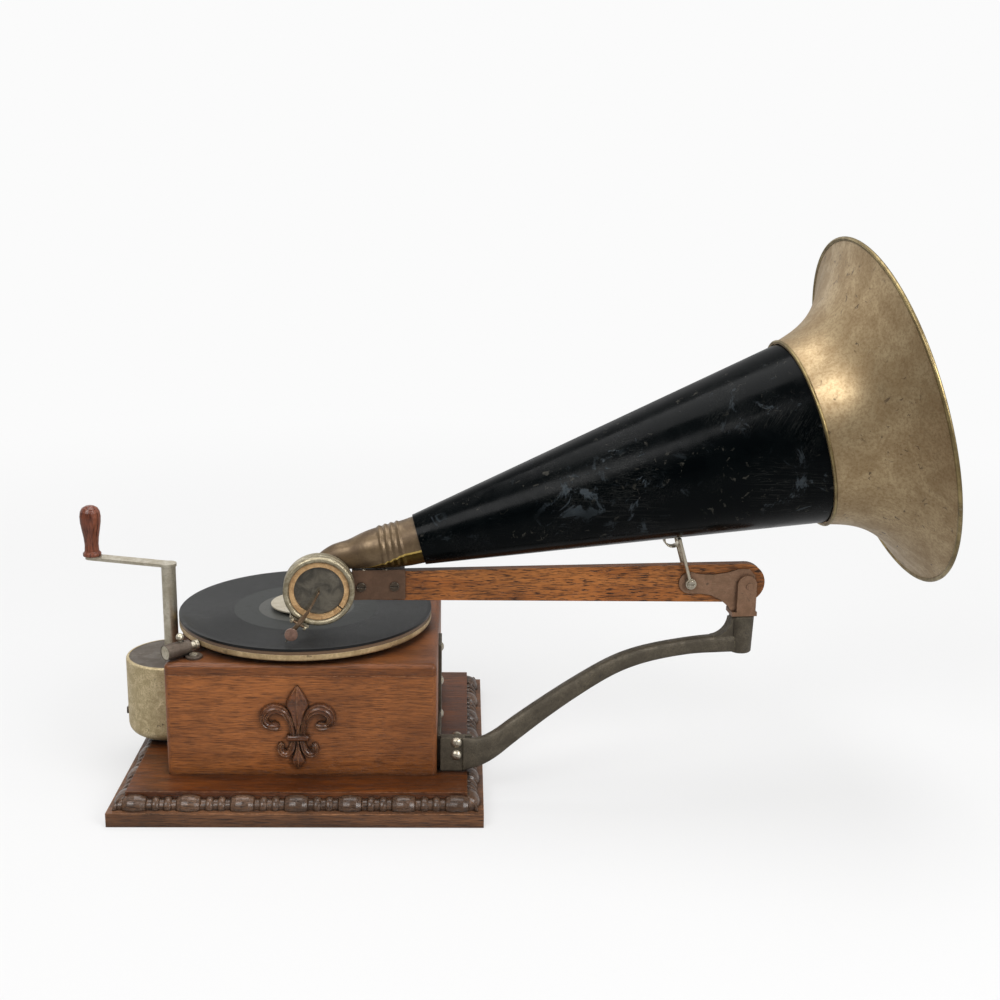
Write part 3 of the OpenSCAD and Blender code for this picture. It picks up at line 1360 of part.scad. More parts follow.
// The ribs run round the tube but leave its underside plain above the arm's plate
rib_low = -0.8;
function rib_at(x) =
  let (u = (x - rib_from) / rib_pitch)
  (u < 0 || u > rib_count) ? 0 : rib_rise * pow(sin(180 * (u - floor(u))), 2);
function elbow_ring(p, d, r, rib = 0) =
  [for (j = [0:elbow_sides - 1]) let (a = 360 * j / elbow_sides, q = r + (sin(a) < rib_low ? 0 : rib))
    [p[0] - q * sin(a) * d[1], q * cos(a) * p[3], p[1] + q * sin(a) * d[0]]];
function elbow_steps(p) = p[0] == rib_from ? 4 * rib_count : 2;
elbow_outer = concat(
  [for (i = [0:len(elbow_line) - 2], k = [0:elbow_steps(elbow_line[i]) - 1])
    spline_at(elbow_line, i, k / elbow_steps(elbow_line[i]))],
  [elbow_line[len(elbow_line) - 1]]);
elbow_inner = spline(elbow_bore_line, 2);

module elbow() {
  color(brass_c) at_pivot() difference() {
    union() {
      skin([for (i = [0:len(elbow_outer) - 1])
        elbow_ring(elbow_outer[i], path_dir(elbow_outer, i), elbow_outer[i][2], rib_at(elbow_outer[i][0]))]);
      translate([box_x, 0, box_z]) sphere(r = knee_r);
      translate([box_x, 0, box_z]) y_rod(neck_r + 1.8, box_y + box_back + free_gap, -1.6);
    }
    skin([for (i = [0:len(elbow_inner) - 1])
      elbow_ring(elbow_inner[i], path_dir(elbow_inner, i), elbow_inner[i][2] - elbow_wall)]);
    translate([box_x, 0, box_z]) sphere(r = knee_r - elbow_wall);
    translate([box_x, 0, box_z]) y_rod(neck_r + run_gap, box_y + box_back - cut, 0);
  }
}

// Sound box, drawn about its front centre
module at_box() {
  at_pivot() translate([box_x, box_y, box_z]) children();
}
module y_turned() {
  rotate([-90, 0, 0]) rotate_extrude() children();
}
bead = box_ring / 2;
cup_r = box_r - box_ring;
seat_in_r = diaphragm_r;
module sound_box_shell() {
  color(nickel) at_box() difference() {
    y_turned() {
      translate([cup_r, bead]) square([box_ring, box_back - bead]);
      translate([cup_r + bead, bead]) circle(r = bead);
      translate([seat_in_r, seat_y]) square([cup_r - seat_in_r + 0.1, box_back - seat_y]);
      translate([neck_r - 1.4, box_back - 2]) square([cup_r - neck_r + 1.5, 2]);
      translate([neck_r - 1.4, box_back - 2]) square([1.4, neck_l + 2]);
    }
  }
}

gasket_gap_a = -40;
module sound_box_gaskets() {
  color("burlywood") at_box() {
    difference() {
      y_turned() translate([diaphragm_r, seat_y - 2 * gasket_t - diaphragm_t])
        square([cup_r - diaphragm_r - 0.05, gasket_t]);
      rotate([0, -gasket_gap_a, 0])
        translate([diaphragm_r - cut, seat_y - 2 * gasket_t - diaphragm_t - cut, -0.6])
        cube([box_r, gasket_t + cut + 0.05, 1.2]);
    }
    y_turned() translate([diaphragm_r, seat_y - gasket_t]) square([cup_r - diaphragm_r - 0.05, gasket_t]);
  }
}

diaphragm_y = seat_y - gasket_t - diaphragm_t;
module diaphragm() {
  color("darkolivegreen") at_box() y_rod(cup_r - 0.1, diaphragm_y, diaphragm_y + diaphragm_t);
}

// Stylus bar: from the diaphragm's centre over the ring to the needle's socket
rock_gap = 0.4;
// Direction of the pivot from the sound box's centre, and the cross pin on which the bar rocks
spring_dir = atan2(stylus_pivot[1], stylus_pivot[0]);
rock_pin_r = 0.9;
rock_pin_half = 5.8;
module stylus_bar() {
  top = [0, bar_y, 0];
  knee = [stylus_pivot[0], bar_y, stylus_pivot[1]];
  head = [needle_head[0], bar_y + 0.6, needle_head[1]];
  color("sienna") at_box() difference() {
    union() {
      rod([0, diaphragm_y - rock_gap, 0], top, 0.7);
      rod(top, knee, 0.8);
      rod(knee, head, 1.5);
      translate(top) sphere(r = 0.85);
      translate(knee) sphere(r = 1.6);
      translate(head) sphere(r = 2.1);
      translate(knee) rotate([0, -spring_dir, 0]) translate([0, 0, -rock_pin_half])
        cylinder(r = rock_pin_r, h = 2 * rock_pin_half);
    }
    rod([needle_head[0], bar_y + 0.6, needle_head[1]] - needle_dir * 3, head + needle_dir * 6,
      needle_r + 0.03);
    translate(head) y_rod(0.83, -6, 0);
  }
}
needle_from = [needle_head[0], bar_y + 0.6, needle_head[1]];
needle_to = [needle_tip[0], 0.4, needle_tip[1]];
needle_dir = unit(needle_to - needle_from);

module needle() {
  l = norm(needle_to - needle_from);
  point_l = 3.2;
  d = needle_dir;
  color(nickel) at_box() {
    rod(needle_from - d * 1.5, needle_to - d * point_l, needle_r);
    translate(needle_to - d * point_l) rotate([0, acos(d[2]), atan2(d[1], d[0])])
      cylinder(r1 = needle_r, r2 = 0.1, h = point_l);
  }
}

module needle_screw() {
  color(nickel) at_box() translate([needle_head[0], bar_y + 0.6, needle_head[1]]) {
    y_rod(0.8, -4.4, -needle_r - 0.1);
    y_rod(4.3, -5.8, -4.2);
    y_rod(2, -4.3, -2.6);
  }
}

// Spring plate on the ring's lower left edge, with two ears that carry the cross pin
rock_ear_in = 4.2;
rock_ear_t = 1.4;
module stylus_spring() {
  r = box_r;
  color(steel) at_box() rotate([0, -spring_dir, 0]) {
    // Local +X points out of the ring towards the pivot
    difference() {
      translate([r - 0.6, 0.6, -7]) cube([2, 6.4, 14]);
      translate([0, bead, 0]) y_rod(r + rest_gap, 0, 10);
      y_rod(r + rest_gap, -cut, bead + cut);
    }
    for (s = [-1, 1]) translate([r + 1.4, 4.6, s * 5]) rotate([0, 90, 0]) cylinder(r = 1.5, h = 1.4);
    difference() {
      for (z = [-rock_ear_in - rock_ear_t, rock_ear_in])
        translate([r + 0.3, bar_y - 1.6, z]) cube([2.8, 4.2, rock_ear_t]);
      translate([norm(stylus_pivot), bar_y, -rock_pin_half - cut])
        cylinder(r = rock_pin_r + run_gap, h = 2 * (rock_pin_half + cut));
    }
  }
}

base_slab();
base_top_board();
carved_band();
case_front();
case_back();
case_left();
case_right();
case_top();
carved_lily();
drum_housing();
drum_cap();
drum_screws();
motor_lower_plate();
motor_upper_plate();
motor_pillars();
spring_barrel();
barrel_gear();
mainspring();
crank_shaft();
ratchet_wheel();
ratchet_pawl();
crank_arm();
crank_handle();
first_arbor();
second_arbor();
spindle();
governor_wheel();
governor_shaft();
governor_weights();
turntable();
turntable_felt();
record();
record_clamp();
brake_bracket();
brake_tube();
brake_rod();
brake_screws();
side_plate();
side_plate_screws();
support_bracket();
bracket_bolts();
swivel_fork();
hinge_pin();
horn_arm();
arm_cheeks();
front_clip();
clip_screws();
crutch();
crutch_screws();
elbow();
horn_cone();
horn_bell();
horn_hook();
sound_box_shell();
sound_box_gaskets();
diaphragm();
stylus_bar();
stylus_spring();
needle();
needle_screw();
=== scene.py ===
"""Looks for a horn gramophone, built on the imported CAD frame.

Sizes are in millimetres in the classes and become metres in the meshes.
"""

from __future__ import annotations

import json
import logging
import math
from dataclasses import dataclass
from enum import Enum
from typing import Iterator, Sequence

import bmesh
import bpy
from mathutils import Matrix, Vector

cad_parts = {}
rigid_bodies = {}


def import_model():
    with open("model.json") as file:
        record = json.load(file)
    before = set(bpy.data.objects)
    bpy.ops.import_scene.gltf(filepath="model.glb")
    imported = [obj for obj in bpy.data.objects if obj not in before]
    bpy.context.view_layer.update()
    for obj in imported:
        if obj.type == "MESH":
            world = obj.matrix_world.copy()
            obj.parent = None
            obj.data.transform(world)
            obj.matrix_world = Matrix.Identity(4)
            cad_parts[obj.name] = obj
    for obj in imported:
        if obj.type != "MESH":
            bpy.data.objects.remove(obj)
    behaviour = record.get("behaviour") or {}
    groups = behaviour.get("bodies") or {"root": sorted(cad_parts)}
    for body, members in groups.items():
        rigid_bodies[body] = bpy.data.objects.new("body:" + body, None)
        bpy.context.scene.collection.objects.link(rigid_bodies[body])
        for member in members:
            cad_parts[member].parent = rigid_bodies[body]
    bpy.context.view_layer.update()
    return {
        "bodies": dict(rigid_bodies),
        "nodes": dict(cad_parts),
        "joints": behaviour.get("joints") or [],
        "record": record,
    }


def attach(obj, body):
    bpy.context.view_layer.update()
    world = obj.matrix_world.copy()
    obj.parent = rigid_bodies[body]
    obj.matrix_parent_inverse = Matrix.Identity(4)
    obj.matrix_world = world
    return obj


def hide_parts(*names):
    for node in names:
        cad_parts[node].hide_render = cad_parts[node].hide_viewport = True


log = logging.getLogger("gramophone")
MM = 0.001
Socket = bpy.types.NodeSocket
Node = bpy.types.Node
Nodes = bpy.types.NodeTree
Rings = list[list[Vector]]
Pairs = list[tuple[float, float]]
Linear = tuple[float, ...]
Screen = tuple[float, float, float]
Place = tuple[float, float, float]
Looks = dict[str, object]


def tone(red: float, green: float, blue: float) -> Linear:
    """Linear colour of a screen colour.

    Args:
        red: Screen red, 0 to 255.
        green: Screen green, 0 to 255.
        blue: Screen blue, 0 to 255.

    Returns:
        Linear red, green, blue and a full alpha.
    """
    def linear(value: float) -> float:
        """Linear light of one screen channel."""
        share = value / 255
        return share / 12.92 if share <= 0.04045 else ((share + 0.055) / 1.055) ** 2.4

    return linear(red), linear(green), linear(blue), 1.0


def darker(colour: Linear, share: float) -> Linear:
    """A linear colour with a share of its light."""
    return tuple(c * share for c in colour[:3]) + (1.0,)


class Grain(Enum):
    """The way a board's fibres run."""

    ALONG_X = (0.0, 0.0, 0.0)
    ALONG_Y = (0.0, 0.0, 90.0)
    UPRIGHT = (0.0, 90.0, 0.0)


class Tree:
    """A node tree with short calls that add nodes and wire them."""

    def __init__(self, tree: Nodes) -> None:
        """Keeps the tree that the nodes go into."""
        self.tree = tree

    def add(self, kind: str, **settings: object) -> Node:
        """Adds a node and sets its options.

        Args:
            kind: Node type without its ShaderNode prefix.
            **settings: Attribute values of the node.

        Returns:
            The new node.
        """
        node = self.tree.nodes.new("ShaderNode" + kind)
        for name, value in settings.items():
            setattr(node, name, value)
        return node

    def put(self, socket: Socket, value: object) -> None:
        """Wires a socket into an input, or sets a plain value on it."""
        if isinstance(value, Socket):
            self.tree.links.new(value, socket)
        elif value is not None:
            socket.default_value = value

    def feed(self, node: Node, **values: object) -> Node:
        """Fills a node's inputs by name.

        Args:
            node: The node to fill.
            **values: Sockets or plain values; an underscore in a name stands for a space.

        Returns:
            The same node.
        """
        for name, value in values.items():
            self.put(node.inputs[name.replace("_", " ")], value)
        return node

    def fill(self, node: Node, *values: object) -> Node:
        """Fills a node's inputs in order, past those given as None, and gives it back."""
        for socket, value in zip(node.inputs, values):
            self.put(socket, value)
        return node

    def coords(self) -> Socket:
        """Place on the object in metres."""
        return self.add("TexCoord").outputs["Object"]

    def noise(self, vector: Socket, scale: object, detail: float = 3.0, rough: float = 0.5,
              warp: float = 0.0) -> Socket:
        """Cloudy noise between 0 and 1."""
        return self.feed(self.add("TexNoise"), Vector=vector, Scale=scale, Detail=detail, Roughness=rough,
                         Distortion=warp).outputs["Fac"]

    def math(self, step: str, *values: object, clamp: bool = False) -> Socket:
        """One arithmetic step."""
        return self.fill(self.add("Math", operation=step, use_clamp=clamp), *values).outputs[0]

    def times(self, first: object, second: object, clamp: bool = False) -> Socket:
        """A product."""
        return self.math("MULTIPLY", first, second, clamp=clamp)

    def rest(self, value: object) -> Socket:
        """What a value leaves of 1."""
        return self.math("SUBTRACT", 1.0, value)

    def most(self, first: object, second: object) -> Socket:
        """The larger value."""
        return self.math("MAXIMUM", first, second)

    def vector(self, step: str, *values: object) -> Socket:
        """One step on vectors; a length comes out as a number."""
        node = self.fill(self.add("VectorMath", operation=step), *values)
        return node.outputs["Value" if step in ("LENGTH", "DOT_PRODUCT") else "Vector"]

    def spread(self, value: Socket, low: float, high: float) -> Socket:
        """A mask that is 0 below low, 1 above high and smooth between them."""
        node = self.add("MapRange", interpolation_type="SMOOTHSTEP")
        return self.feed(node, Value=value, From_Min=low, From_Max=high).outputs["Result"]

    def between(self, share: object, low: object, high: object) -> Socket:
        """A number between two numbers."""
        return self.fill(self.add("Mix", data_type="FLOAT"), share, None, low, high).outputs[0]

    def blend(self, share: object, low: object, high: object) -> Socket:
        """A colour between two colours."""
        return self.fill(self.add("Mix", data_type="RGBA"), share, *[None] * 5, low, high).outputs[2]

    def layer(self, under: object, over: object, mask: Socket, share: float) -> Socket:
        """A colour with another laid over it by a share of a mask."""
        return self.blend(self.times(mask, share), under, over)

    def turned(self, vector: Socket, degrees: Sequence[float], scale: Sequence[float] = (1, 1, 1)) -> Socket:
        """The same vector, turned and scaled."""
        return self.feed(self.add("Mapping"), Vector=vector, Rotation=[math.radians(a) for a in degrees],
                         Scale=scale).outputs["Vector"]

    def bump(self, height: Socket, depth: float, normal: object = None) -> Socket:
        """A normal bent by a height; depth is in millimetres."""
        node = self.feed(self.add("Bump"), Height=height, Distance=depth * MM, Normal=normal)
        return node.outputs["Normal"]

    def shared(self, group: Nodes, **values: object) -> bpy.types.bpy_prop_collection:
        """Places a shared effect with its own values and gives its outputs."""
        return self.feed(self.add("Group", node_tree=group), **values).outputs


class Effects:
    """The shader effects that several finishes share, each one a node group."""

    def __init__(self) -> None:
        """Builds every group once."""
        self.soft_edge = self._soft_edge()
        self.wood_grain = self._wood_grain()
        self.mottle = self._mottle()
        self.scuffs = self._scuffs()
        self.corner_shade = self._corner_shade()

    @staticmethod
    def _group(name: str, gives: str, **takes: object) -> tuple[Tree, object, Node]:
        """Starts a group; inputs and outputs called Vector or Normal are vectors.

        Args:
            name: Name of the group.
            gives: Names of the outputs.
            **takes: Each input's default value, or None.

        Returns:
            The tree, the sockets of what it takes, and its output node.
        """
        made = bpy.data.node_groups.new(name, "ShaderNodeTree")
        names = [(key, "INPUT") for key in takes] + [(key, "OUTPUT") for key in gives.split()]
        for key, way in names:
            kind = "NodeSocketVector" if key in ("Vector", "Normal") else "NodeSocketFloat"
            socket = made.interface.new_socket(name=key, in_out=way, socket_type=kind)
            if takes.get(key) is not None:
                socket.default_value = takes[key]
        return Tree(made), made.nodes.new("NodeGroupInput").outputs, made.nodes.new("NodeGroupOutput")

    def _soft_edge(self) -> Nodes:
        """Rounded edges and a broken mask of where they are worn."""
        tree, given, end = self._group("SoftEdge", "Edge Normal", Radius=0.0008, Breakup=400.0, Amount=1.0)
        rounded = tree.feed(tree.add("Bevel", samples=4), Radius=given["Radius"]).outputs["Normal"]
        flat = tree.add("NewGeometry").outputs["Normal"]
        turn = tree.rest(tree.vector("DOT_PRODUCT", rounded, flat))
        broken = tree.noise(tree.coords(), given["Breakup"], 4.0, 0.6)
        worn = tree.times(tree.spread(turn, 0.01, 0.12), tree.spread(broken, 0.4, 0.62))
        tree.feed(end, Edge=tree.times(worn, given["Amount"], clamp=True), Normal=rounded)
        return tree.tree

    def _wood_grain(self) -> Nodes:
        """Oak figure, fibres and open pores along the first axis of the vector."""
        tree, given, end = self._group("OakGrain", "Figure Fibre Pores", Vector=None, Lengthwise=26.0,
                                       Crosswise=620.0)

        def stretched(length: float, width: float) -> Socket:
            """The vector drawn out along the fibres."""
            along, across = tree.times(given["Lengthwise"], length), tree.times(given["Crosswise"], width)
            ways = tree.fill(tree.add("CombineXYZ"), along, across, across)
            return tree.vector("MULTIPLY", given["Vector"], ways.outputs[0])

        tree.feed(end, Figure=tree.noise(stretched(0.12, 0.05), 1.0, 4.0, 0.55, 0.9),
                  Fibre=tree.noise(stretched(1.0, 1.0), 1.0, 5.0, 0.62, 0.2),
                  Pores=tree.spread(tree.noise(stretched(1.3, 1.6), 1.0, 2.0, 0.5), 0.54, 0.66))
        return tree.tree

    def _mottle(self) -> Nodes:
        """Patches, specks and pits of tarnish."""
        tree, given, end = self._group("Mottle", "Patches Specks Pits", Vector=None, Scale=120.0)
        place, scale = given["Vector"], given["Scale"]
        patches = tree.noise(place, scale, 6.0, 0.62, 0.6)
        specks = tree.noise(place, tree.times(scale, 9.0), 4.0, 0.7)
        pits = tree.noise(place, tree.times(scale, 3.1), 5.0, 0.6, 0.8)
        some = tree.spread(tree.noise(place, tree.times(scale, 0.7), 2.0), 0.46, 0.6)
        tree.feed(end, Patches=tree.spread(patches, 0.34, 0.66), Specks=tree.spread(specks, 0.42, 0.62),
                  Pits=tree.times(tree.spread(pits, 0.61, 0.67), some))
        return tree.tree

    def _scuffs(self) -> Nodes:
        """Fine scratches that run many ways, and dull rubbed patches."""
        tree, given, end = self._group("Scuffs", "Scratches Rubs", Vector=None, Scale=100.0)
        place, scale = given["Vector"], given["Scale"]
        lines: list[Socket] = []
        for turn, wide in ((23.0, 1.0), (-41.0, 0.7), (78.0, 1.3)):
            drawn = tree.turned(place, (turn * 0.4, turn, turn * 1.3), (0.05, 1.6 * wide, 1.6 * wide))
            thread = tree.noise(drawn, tree.times(scale, 5.0), 2.0, 0.5, 0.3)
            away = tree.math("ABSOLUTE", tree.math("SUBTRACT", thread, 0.5))
            lines.append(tree.rest(tree.spread(away, 0.0, 0.012)))
        where = tree.spread(tree.noise(place, tree.times(scale, 0.35), 3.0), 0.5, 0.68)
        rubs = tree.spread(tree.noise(place, tree.times(scale, 0.8), 6.0, 0.72, 1.2), 0.58, 0.64)
        tree.feed(end, Scratches=tree.times(tree.most(tree.most(lines[0], lines[1]), lines[2]), where),
                  Rubs=tree.times(rubs, where))
        return tree.tree

    def _corner_shade(self) -> Nodes:
        """Painted shade that darkens corners and crevices by ambient occlusion, broken by noise."""
        tree, given, end = self._group("CornerShade", "Dirt", Reach=0.004, Breakup=300.0)
        hidden = tree.feed(tree.add("AmbientOcclusion", samples=6), Distance=given["Reach"])
        corners = tree.spread(tree.rest(hidden.outputs["AO"]), 0.08, 0.75)
        cloud = tree.math("ADD", 0.45, tree.noise(tree.coords(), given["Breakup"], 4.0, 0.6))
        tree.feed(end, Dirt=tree.times(corners, cloud, clamp=True))
        return tree.tree


@dataclass(frozen=True)
class Finish:
    """A surface finish; the classes below say how each kind looks."""

    name: str

    def make(self, effects: Effects) -> bpy.types.Material:
        """Builds the material."""
        made = bpy.data.materials.new(self.name)
        made.use_nodes = True
        tree = Tree(made.node_tree)
        tree.feed(made.node_tree.nodes["Principled BSDF"], **self.looks(tree, effects, tree.coords()))
        return made

    def looks(self, tree: Tree, effects: Effects, place: Socket) -> Looks:
        """Inputs of the main shader."""
        raise NotImplementedError


@dataclass(frozen=True)
class Wood(Finish):
    """Varnished oak with worn edges and painted shade in its corners."""

    light: Screen = (170, 104, 54)
    middle: Screen = (142, 83, 40)
    dark: Screen = (64, 34, 14)
    worn: Screen = (196, 142, 98)
    # Colour of the painted shade in corners.
    shade_colour: Screen = (28, 17, 10)
    grain: Grain = Grain.ALONG_X
    lengthwise: float = 80.0
    crosswise: float = 2100.0
    streak: float = 0.8
    stain: float = 0.42
    roughness: float = 0.38
    pores: float = 0.6
    edge: float = 0.5
    # How much painted shade lies in corners.
    dirt: float = 0.85
    bump: float = 0.12
    radius: float = 0.8
    coat: float = 0.1

    def looks(self, tree: Tree, effects: Effects, place: Socket) -> Looks:
        """Inputs of the main shader."""
        dark = tone(*self.dark)
        grain = tree.shared(effects.wood_grain, Vector=tree.turned(place, self.grain.value),
                            Lengthwise=self.lengthwise, Crosswise=self.crosswise)
        edge = tree.shared(effects.soft_edge, Radius=self.radius * MM, Breakup=260.0, Amount=self.edge)
        # Painted shade in corners, found by ambient occlusion.
        dirt = tree.shared(effects.corner_shade, Reach=0.009, Breakup=220.0)
        cloud = tree.spread(tree.noise(place, 15.0, 5.0, 0.6, 0.6), 0.36, 0.66)
        colour = tree.blend(tree.spread(grain["Figure"], 0.3, 0.7), tone(*self.middle), tone(*self.light))
        colour = tree.layer(colour, dark, tree.spread(grain["Fibre"], 0.44, 0.7), self.streak)
        colour = tree.layer(colour, darker(dark, 0.5), grain["Pores"], self.pores)
        colour = tree.layer(colour, dark, cloud, self.stain)
        colour = tree.blend(edge["Edge"], colour, tone(*self.worn))
        # Lays the painted shade into the corners.
        colour = tree.layer(colour, tone(*self.shade_colour), dirt["Dirt"], self.dirt)
        height = tree.math("SUBTRACT", tree.times(grain["Fibre"], 0.4), grain["Pores"])
        return dict(Base_Color=colour, Normal=tree.bump(height, self.bump, edge["Normal"]),
                    Roughness=tree.between(grain["Figure"], self.roughness - 0.1, self.roughness + 0.14),
                    Coat_Weight=self.coat, Coat_Roughness=0.2, Specular_IOR_Level=0.3)


@dataclass(frozen=True)
class Metal(Finish):
    """Old metal with patches, specks and pits of tarnish, bare edges and painted shade in its corners."""

    bright: Screen = (200, 190, 170)
    tarnish: Screen = (120, 105, 80)
    # Colour of pits and of the painted shade in corners.
    pit_and_shade: Screen = (40, 33, 24)
    bare: Screen = (225, 215, 195)
    scale: float = 120.0
    patches: float = 0.7
    specks: float = 0.4
    pits: float = 0.8
    # How much painted shade lies in corners.
    dirt: float = 0.8
    edge: float = 0.5
    metallic: float = 0.85
    roughness: float = 0.36
    spread: float = 0.16
    bump: float = 0.03
    radius: float = 0.35
    scratches: float = 0.25

    def looks(self, tree: Tree, effects: Effects, place: Socket) -> Looks:
        """Inputs of the main shader."""
        tarnish, pit_and_shade, bare = tone(*self.tarnish), tone(*self.pit_and_shade), tone(*self.bare)
        mottle = tree.shared(effects.mottle, Vector=place, Scale=self.scale)
        edge = tree.shared(effects.soft_edge, Radius=self.radius * MM, Breakup=500.0, Amount=self.edge)
        scuffs = tree.shared(effects.scuffs, Vector=place, Scale=self.scale)
        # Painted shade in corners, found by ambient occlusion; the metal is also less metallic there.
        dark = tree.times(tree.shared(effects.corner_shade, Reach=0.003, Breakup=500.0)["Dirt"], self.dirt)
        pits = tree.times(mottle["Pits"], self.pits)
        colour = tree.layer(tone(*self.bright), tarnish, mottle["Patches"], self.patches)
        colour = tree.layer(colour, tarnish, mottle["Specks"], self.specks)
        colour = tree.blend(pits, colour, pit_and_shade)
        colour = tree.layer(colour, bare, scuffs["Scratches"], self.scratches)
        colour = tree.blend(edge["Edge"], colour, bare)
        # Lays the painted shade into the corners.
        colour = tree.blend(dark, colour, pit_and_shade)
        height = tree.math("SUBTRACT", tree.times(mottle["Specks"], 0.5), mottle["Pits"])
        return dict(Base_Color=colour, Normal=tree.bump(height, self.bump, edge["Normal"]),
                    Metallic=tree.between(tree.most(pits, dark), self.metallic, self.metallic * 0.3),
                    Roughness=tree.between(mottle["Patches"], self.roughness, self.roughness + self.spread))


@dataclass(frozen=True)
class Japan(Finish):
    """Black japanned sheet with grey scuffs, scratches and small chips."""

    def looks(self, tree: Tree, effects: Effects, place: Socket) -> Looks:
        """Inputs of the main shader."""
        scuffs = tree.shared(effects.scuffs, Vector=place, Scale=46.0)
        fine = tree.shared(effects.scuffs, Vector=tree.turned(place, (31, 57, 13)), Scale=90.0)
        mottle = tree.shared(effects.mottle, Vector=place, Scale=60.0)
        rubs = tree.most(scuffs["Rubs"], tree.times(fine["Rubs"], 0.7))
        marks = tree.most(scuffs["Scratches"], fine["Scratches"])
        colour = tree.layer(tone(2, 4, 5), tone(5, 8, 9), mottle["Patches"], 0.5)
        colour = tree.layer(colour, tone(78, 86, 92), rubs, 0.42)
        colour = tree.layer(colour, tone(112, 112, 108), marks, 0.08)
        colour = tree.layer(colour, tone(120, 116, 106), mottle["Pits"], 0.16)
        height = tree.math("ADD", tree.noise(place, 30.0, 2.0), tree.times(rubs, 0.1))
        return dict(Base_Color=colour, Normal=tree.bump(height, 0.5), IOR=1.14,
                    Roughness=tree.between(tree.most(rubs, mottle["Patches"]), 0.14, 0.26))


@dataclass(frozen=True)
class Shellac(Finish):
    """Black disc with fine grooves, a plain label, a dusty sheen and a painted sheen on the smooth ring
    inside the grooves.
    """

    centre: tuple[float, float] = (-3.9, 1.8)
    label: float = 33.0
    music: float = 50.0
    rim: float = 85.5
    groove: float = 0.42

    def looks(self, tree: Tree, effects: Effects, place: Socket) -> Looks:
        """Inputs of the main shader."""
        offset = tree.vector("SUBTRACT", place, (self.centre[0] * MM, self.centre[1] * MM, 0.0))
        radius = tree.vector("LENGTH", tree.vector("MULTIPLY", offset, (1.0, 1.0, 0.0)))

        def within(size: float, soft: float) -> Socket:
            """A mask of the disc up to a radius in millimetres, with a soft border."""
            return tree.rest(tree.spread(radius, (size - soft) * MM, (size + soft) * MM))

        rings = tree.math("SINE", tree.times(radius, 2 * math.pi / (self.groove * MM)))
        bands = tree.feed(tree.add("TexNoise", noise_dimensions="1D"), W=radius, Scale=900.0,
                          Detail=3.0).outputs["Fac"]
        inner, label = within(self.music, 0.4), within(self.label, 0.2)
        outer = tree.spread(radius, (self.rim - 0.4) * MM, self.rim * MM)
        scuffs = tree.shared(effects.scuffs, Vector=place, Scale=60.0)
        dust = tree.spread(tree.noise(place, 260.0, 6.0, 0.75), 0.5, 0.8)
        colour = tree.blend(tree.spread(bands, 0.4, 0.62), tone(9, 10, 10), tone(18, 19, 18))
        # Painted sheen: the smooth ring between the label and the grooves is lighter.
        colour = tree.blend(inner, colour, tone(36, 38, 36))
        colour = tree.blend(label, colour, tone(72, 72, 68))
        colour = tree.blend(outer, colour, tone(20, 20, 20))
        colour = tree.layer(colour, tone(104, 100, 90), dust, 0.16)
        colour = tree.layer(colour, tone(110, 110, 106), scuffs["Scratches"], 0.25)
        grooved = tree.times(tree.rest(inner), tree.rest(outer))
        height = tree.times(tree.math("ADD", rings, tree.times(bands, 1.5)), grooved)
        steps = tree.math("ADD", height, tree.times(label, -2.0))
        return dict(Base_Color=colour, Normal=tree.bump(steps, 0.035), Specular_IOR_Level=0.22,
                    Roughness=tree.between(dust, 0.38, 0.56))


@dataclass(frozen=True)
class Cloth(Finish):
    """Dense faded felt."""

    colour: Screen = (120, 92, 66)

    def looks(self, tree: Tree, effects: Effects, place: Socket) -> Looks:
        """Inputs of the main shader."""
        colour = tone(*self.colour)
        fuzz = tree.noise(place, 2600.0, 5.0, 0.8)
        mottle = tree.shared(effects.mottle, Vector=place, Scale=90.0)
        shade = tree.blend(fuzz, darker(colour, 0.45), colour)
        shade = tree.layer(shade, tone(84, 66, 50), mottle["Patches"], 0.4)
        return dict(Base_Color=shade, Roughness=0.95, Sheen_Weight=0.3, Normal=tree.bump(fuzz, 0.3))


@dataclass(frozen=True)
class Gum(Finish):
    """Aged rubber tube, tan and cracked."""

    def looks(self, tree: Tree, effects: Effects, place: Socket) -> Looks:
        """Inputs of the main shader."""
        mottle = tree.shared(effects.mottle, Vector=place, Scale=260.0)
        cells = tree.feed(tree.add("TexVoronoi", feature="DISTANCE_TO_EDGE"), Vector=place, Scale=900.0)
        split = tree.rest(tree.spread(cells.outputs["Distance"], 0.0, 0.06))
        shade = tree.blend(mottle["Patches"], tone(200, 164, 116), tone(158, 122, 80))
        shade = tree.layer(shade, tone(140, 104, 66), mottle["Specks"], 0.3)
        shade = tree.layer(shade, tone(96, 70, 44), split, 0.35)
        return dict(Base_Color=shade, Roughness=0.7, Normal=tree.bump(split, -0.05))


@dataclass(frozen=True)
class Mica(Finish):
    """Thin smoky sheet with flakes, scratches and a glassy face."""

    def looks(self, tree: Tree, effects: Effects, place: Socket) -> Looks:
        """Inputs of the main shader."""
        mottle = tree.shared(effects.mottle, Vector=place, Scale=110.0)
        scuffs = tree.shared(effects.scuffs, Vector=place, Scale=170.0)
        shade = tree.blend(mottle["Patches"], tone(88, 82, 70), tone(50, 46, 38))
        shade = tree.layer(shade, tone(150, 144, 128), scuffs["Scratches"], 0.5)
        return dict(Base_Color=shade, Roughness=tree.between(mottle["Patches"], 0.1, 0.26),
                    Normal=tree.bump(tree.noise(place, 120.0, 3.0), 0.12))
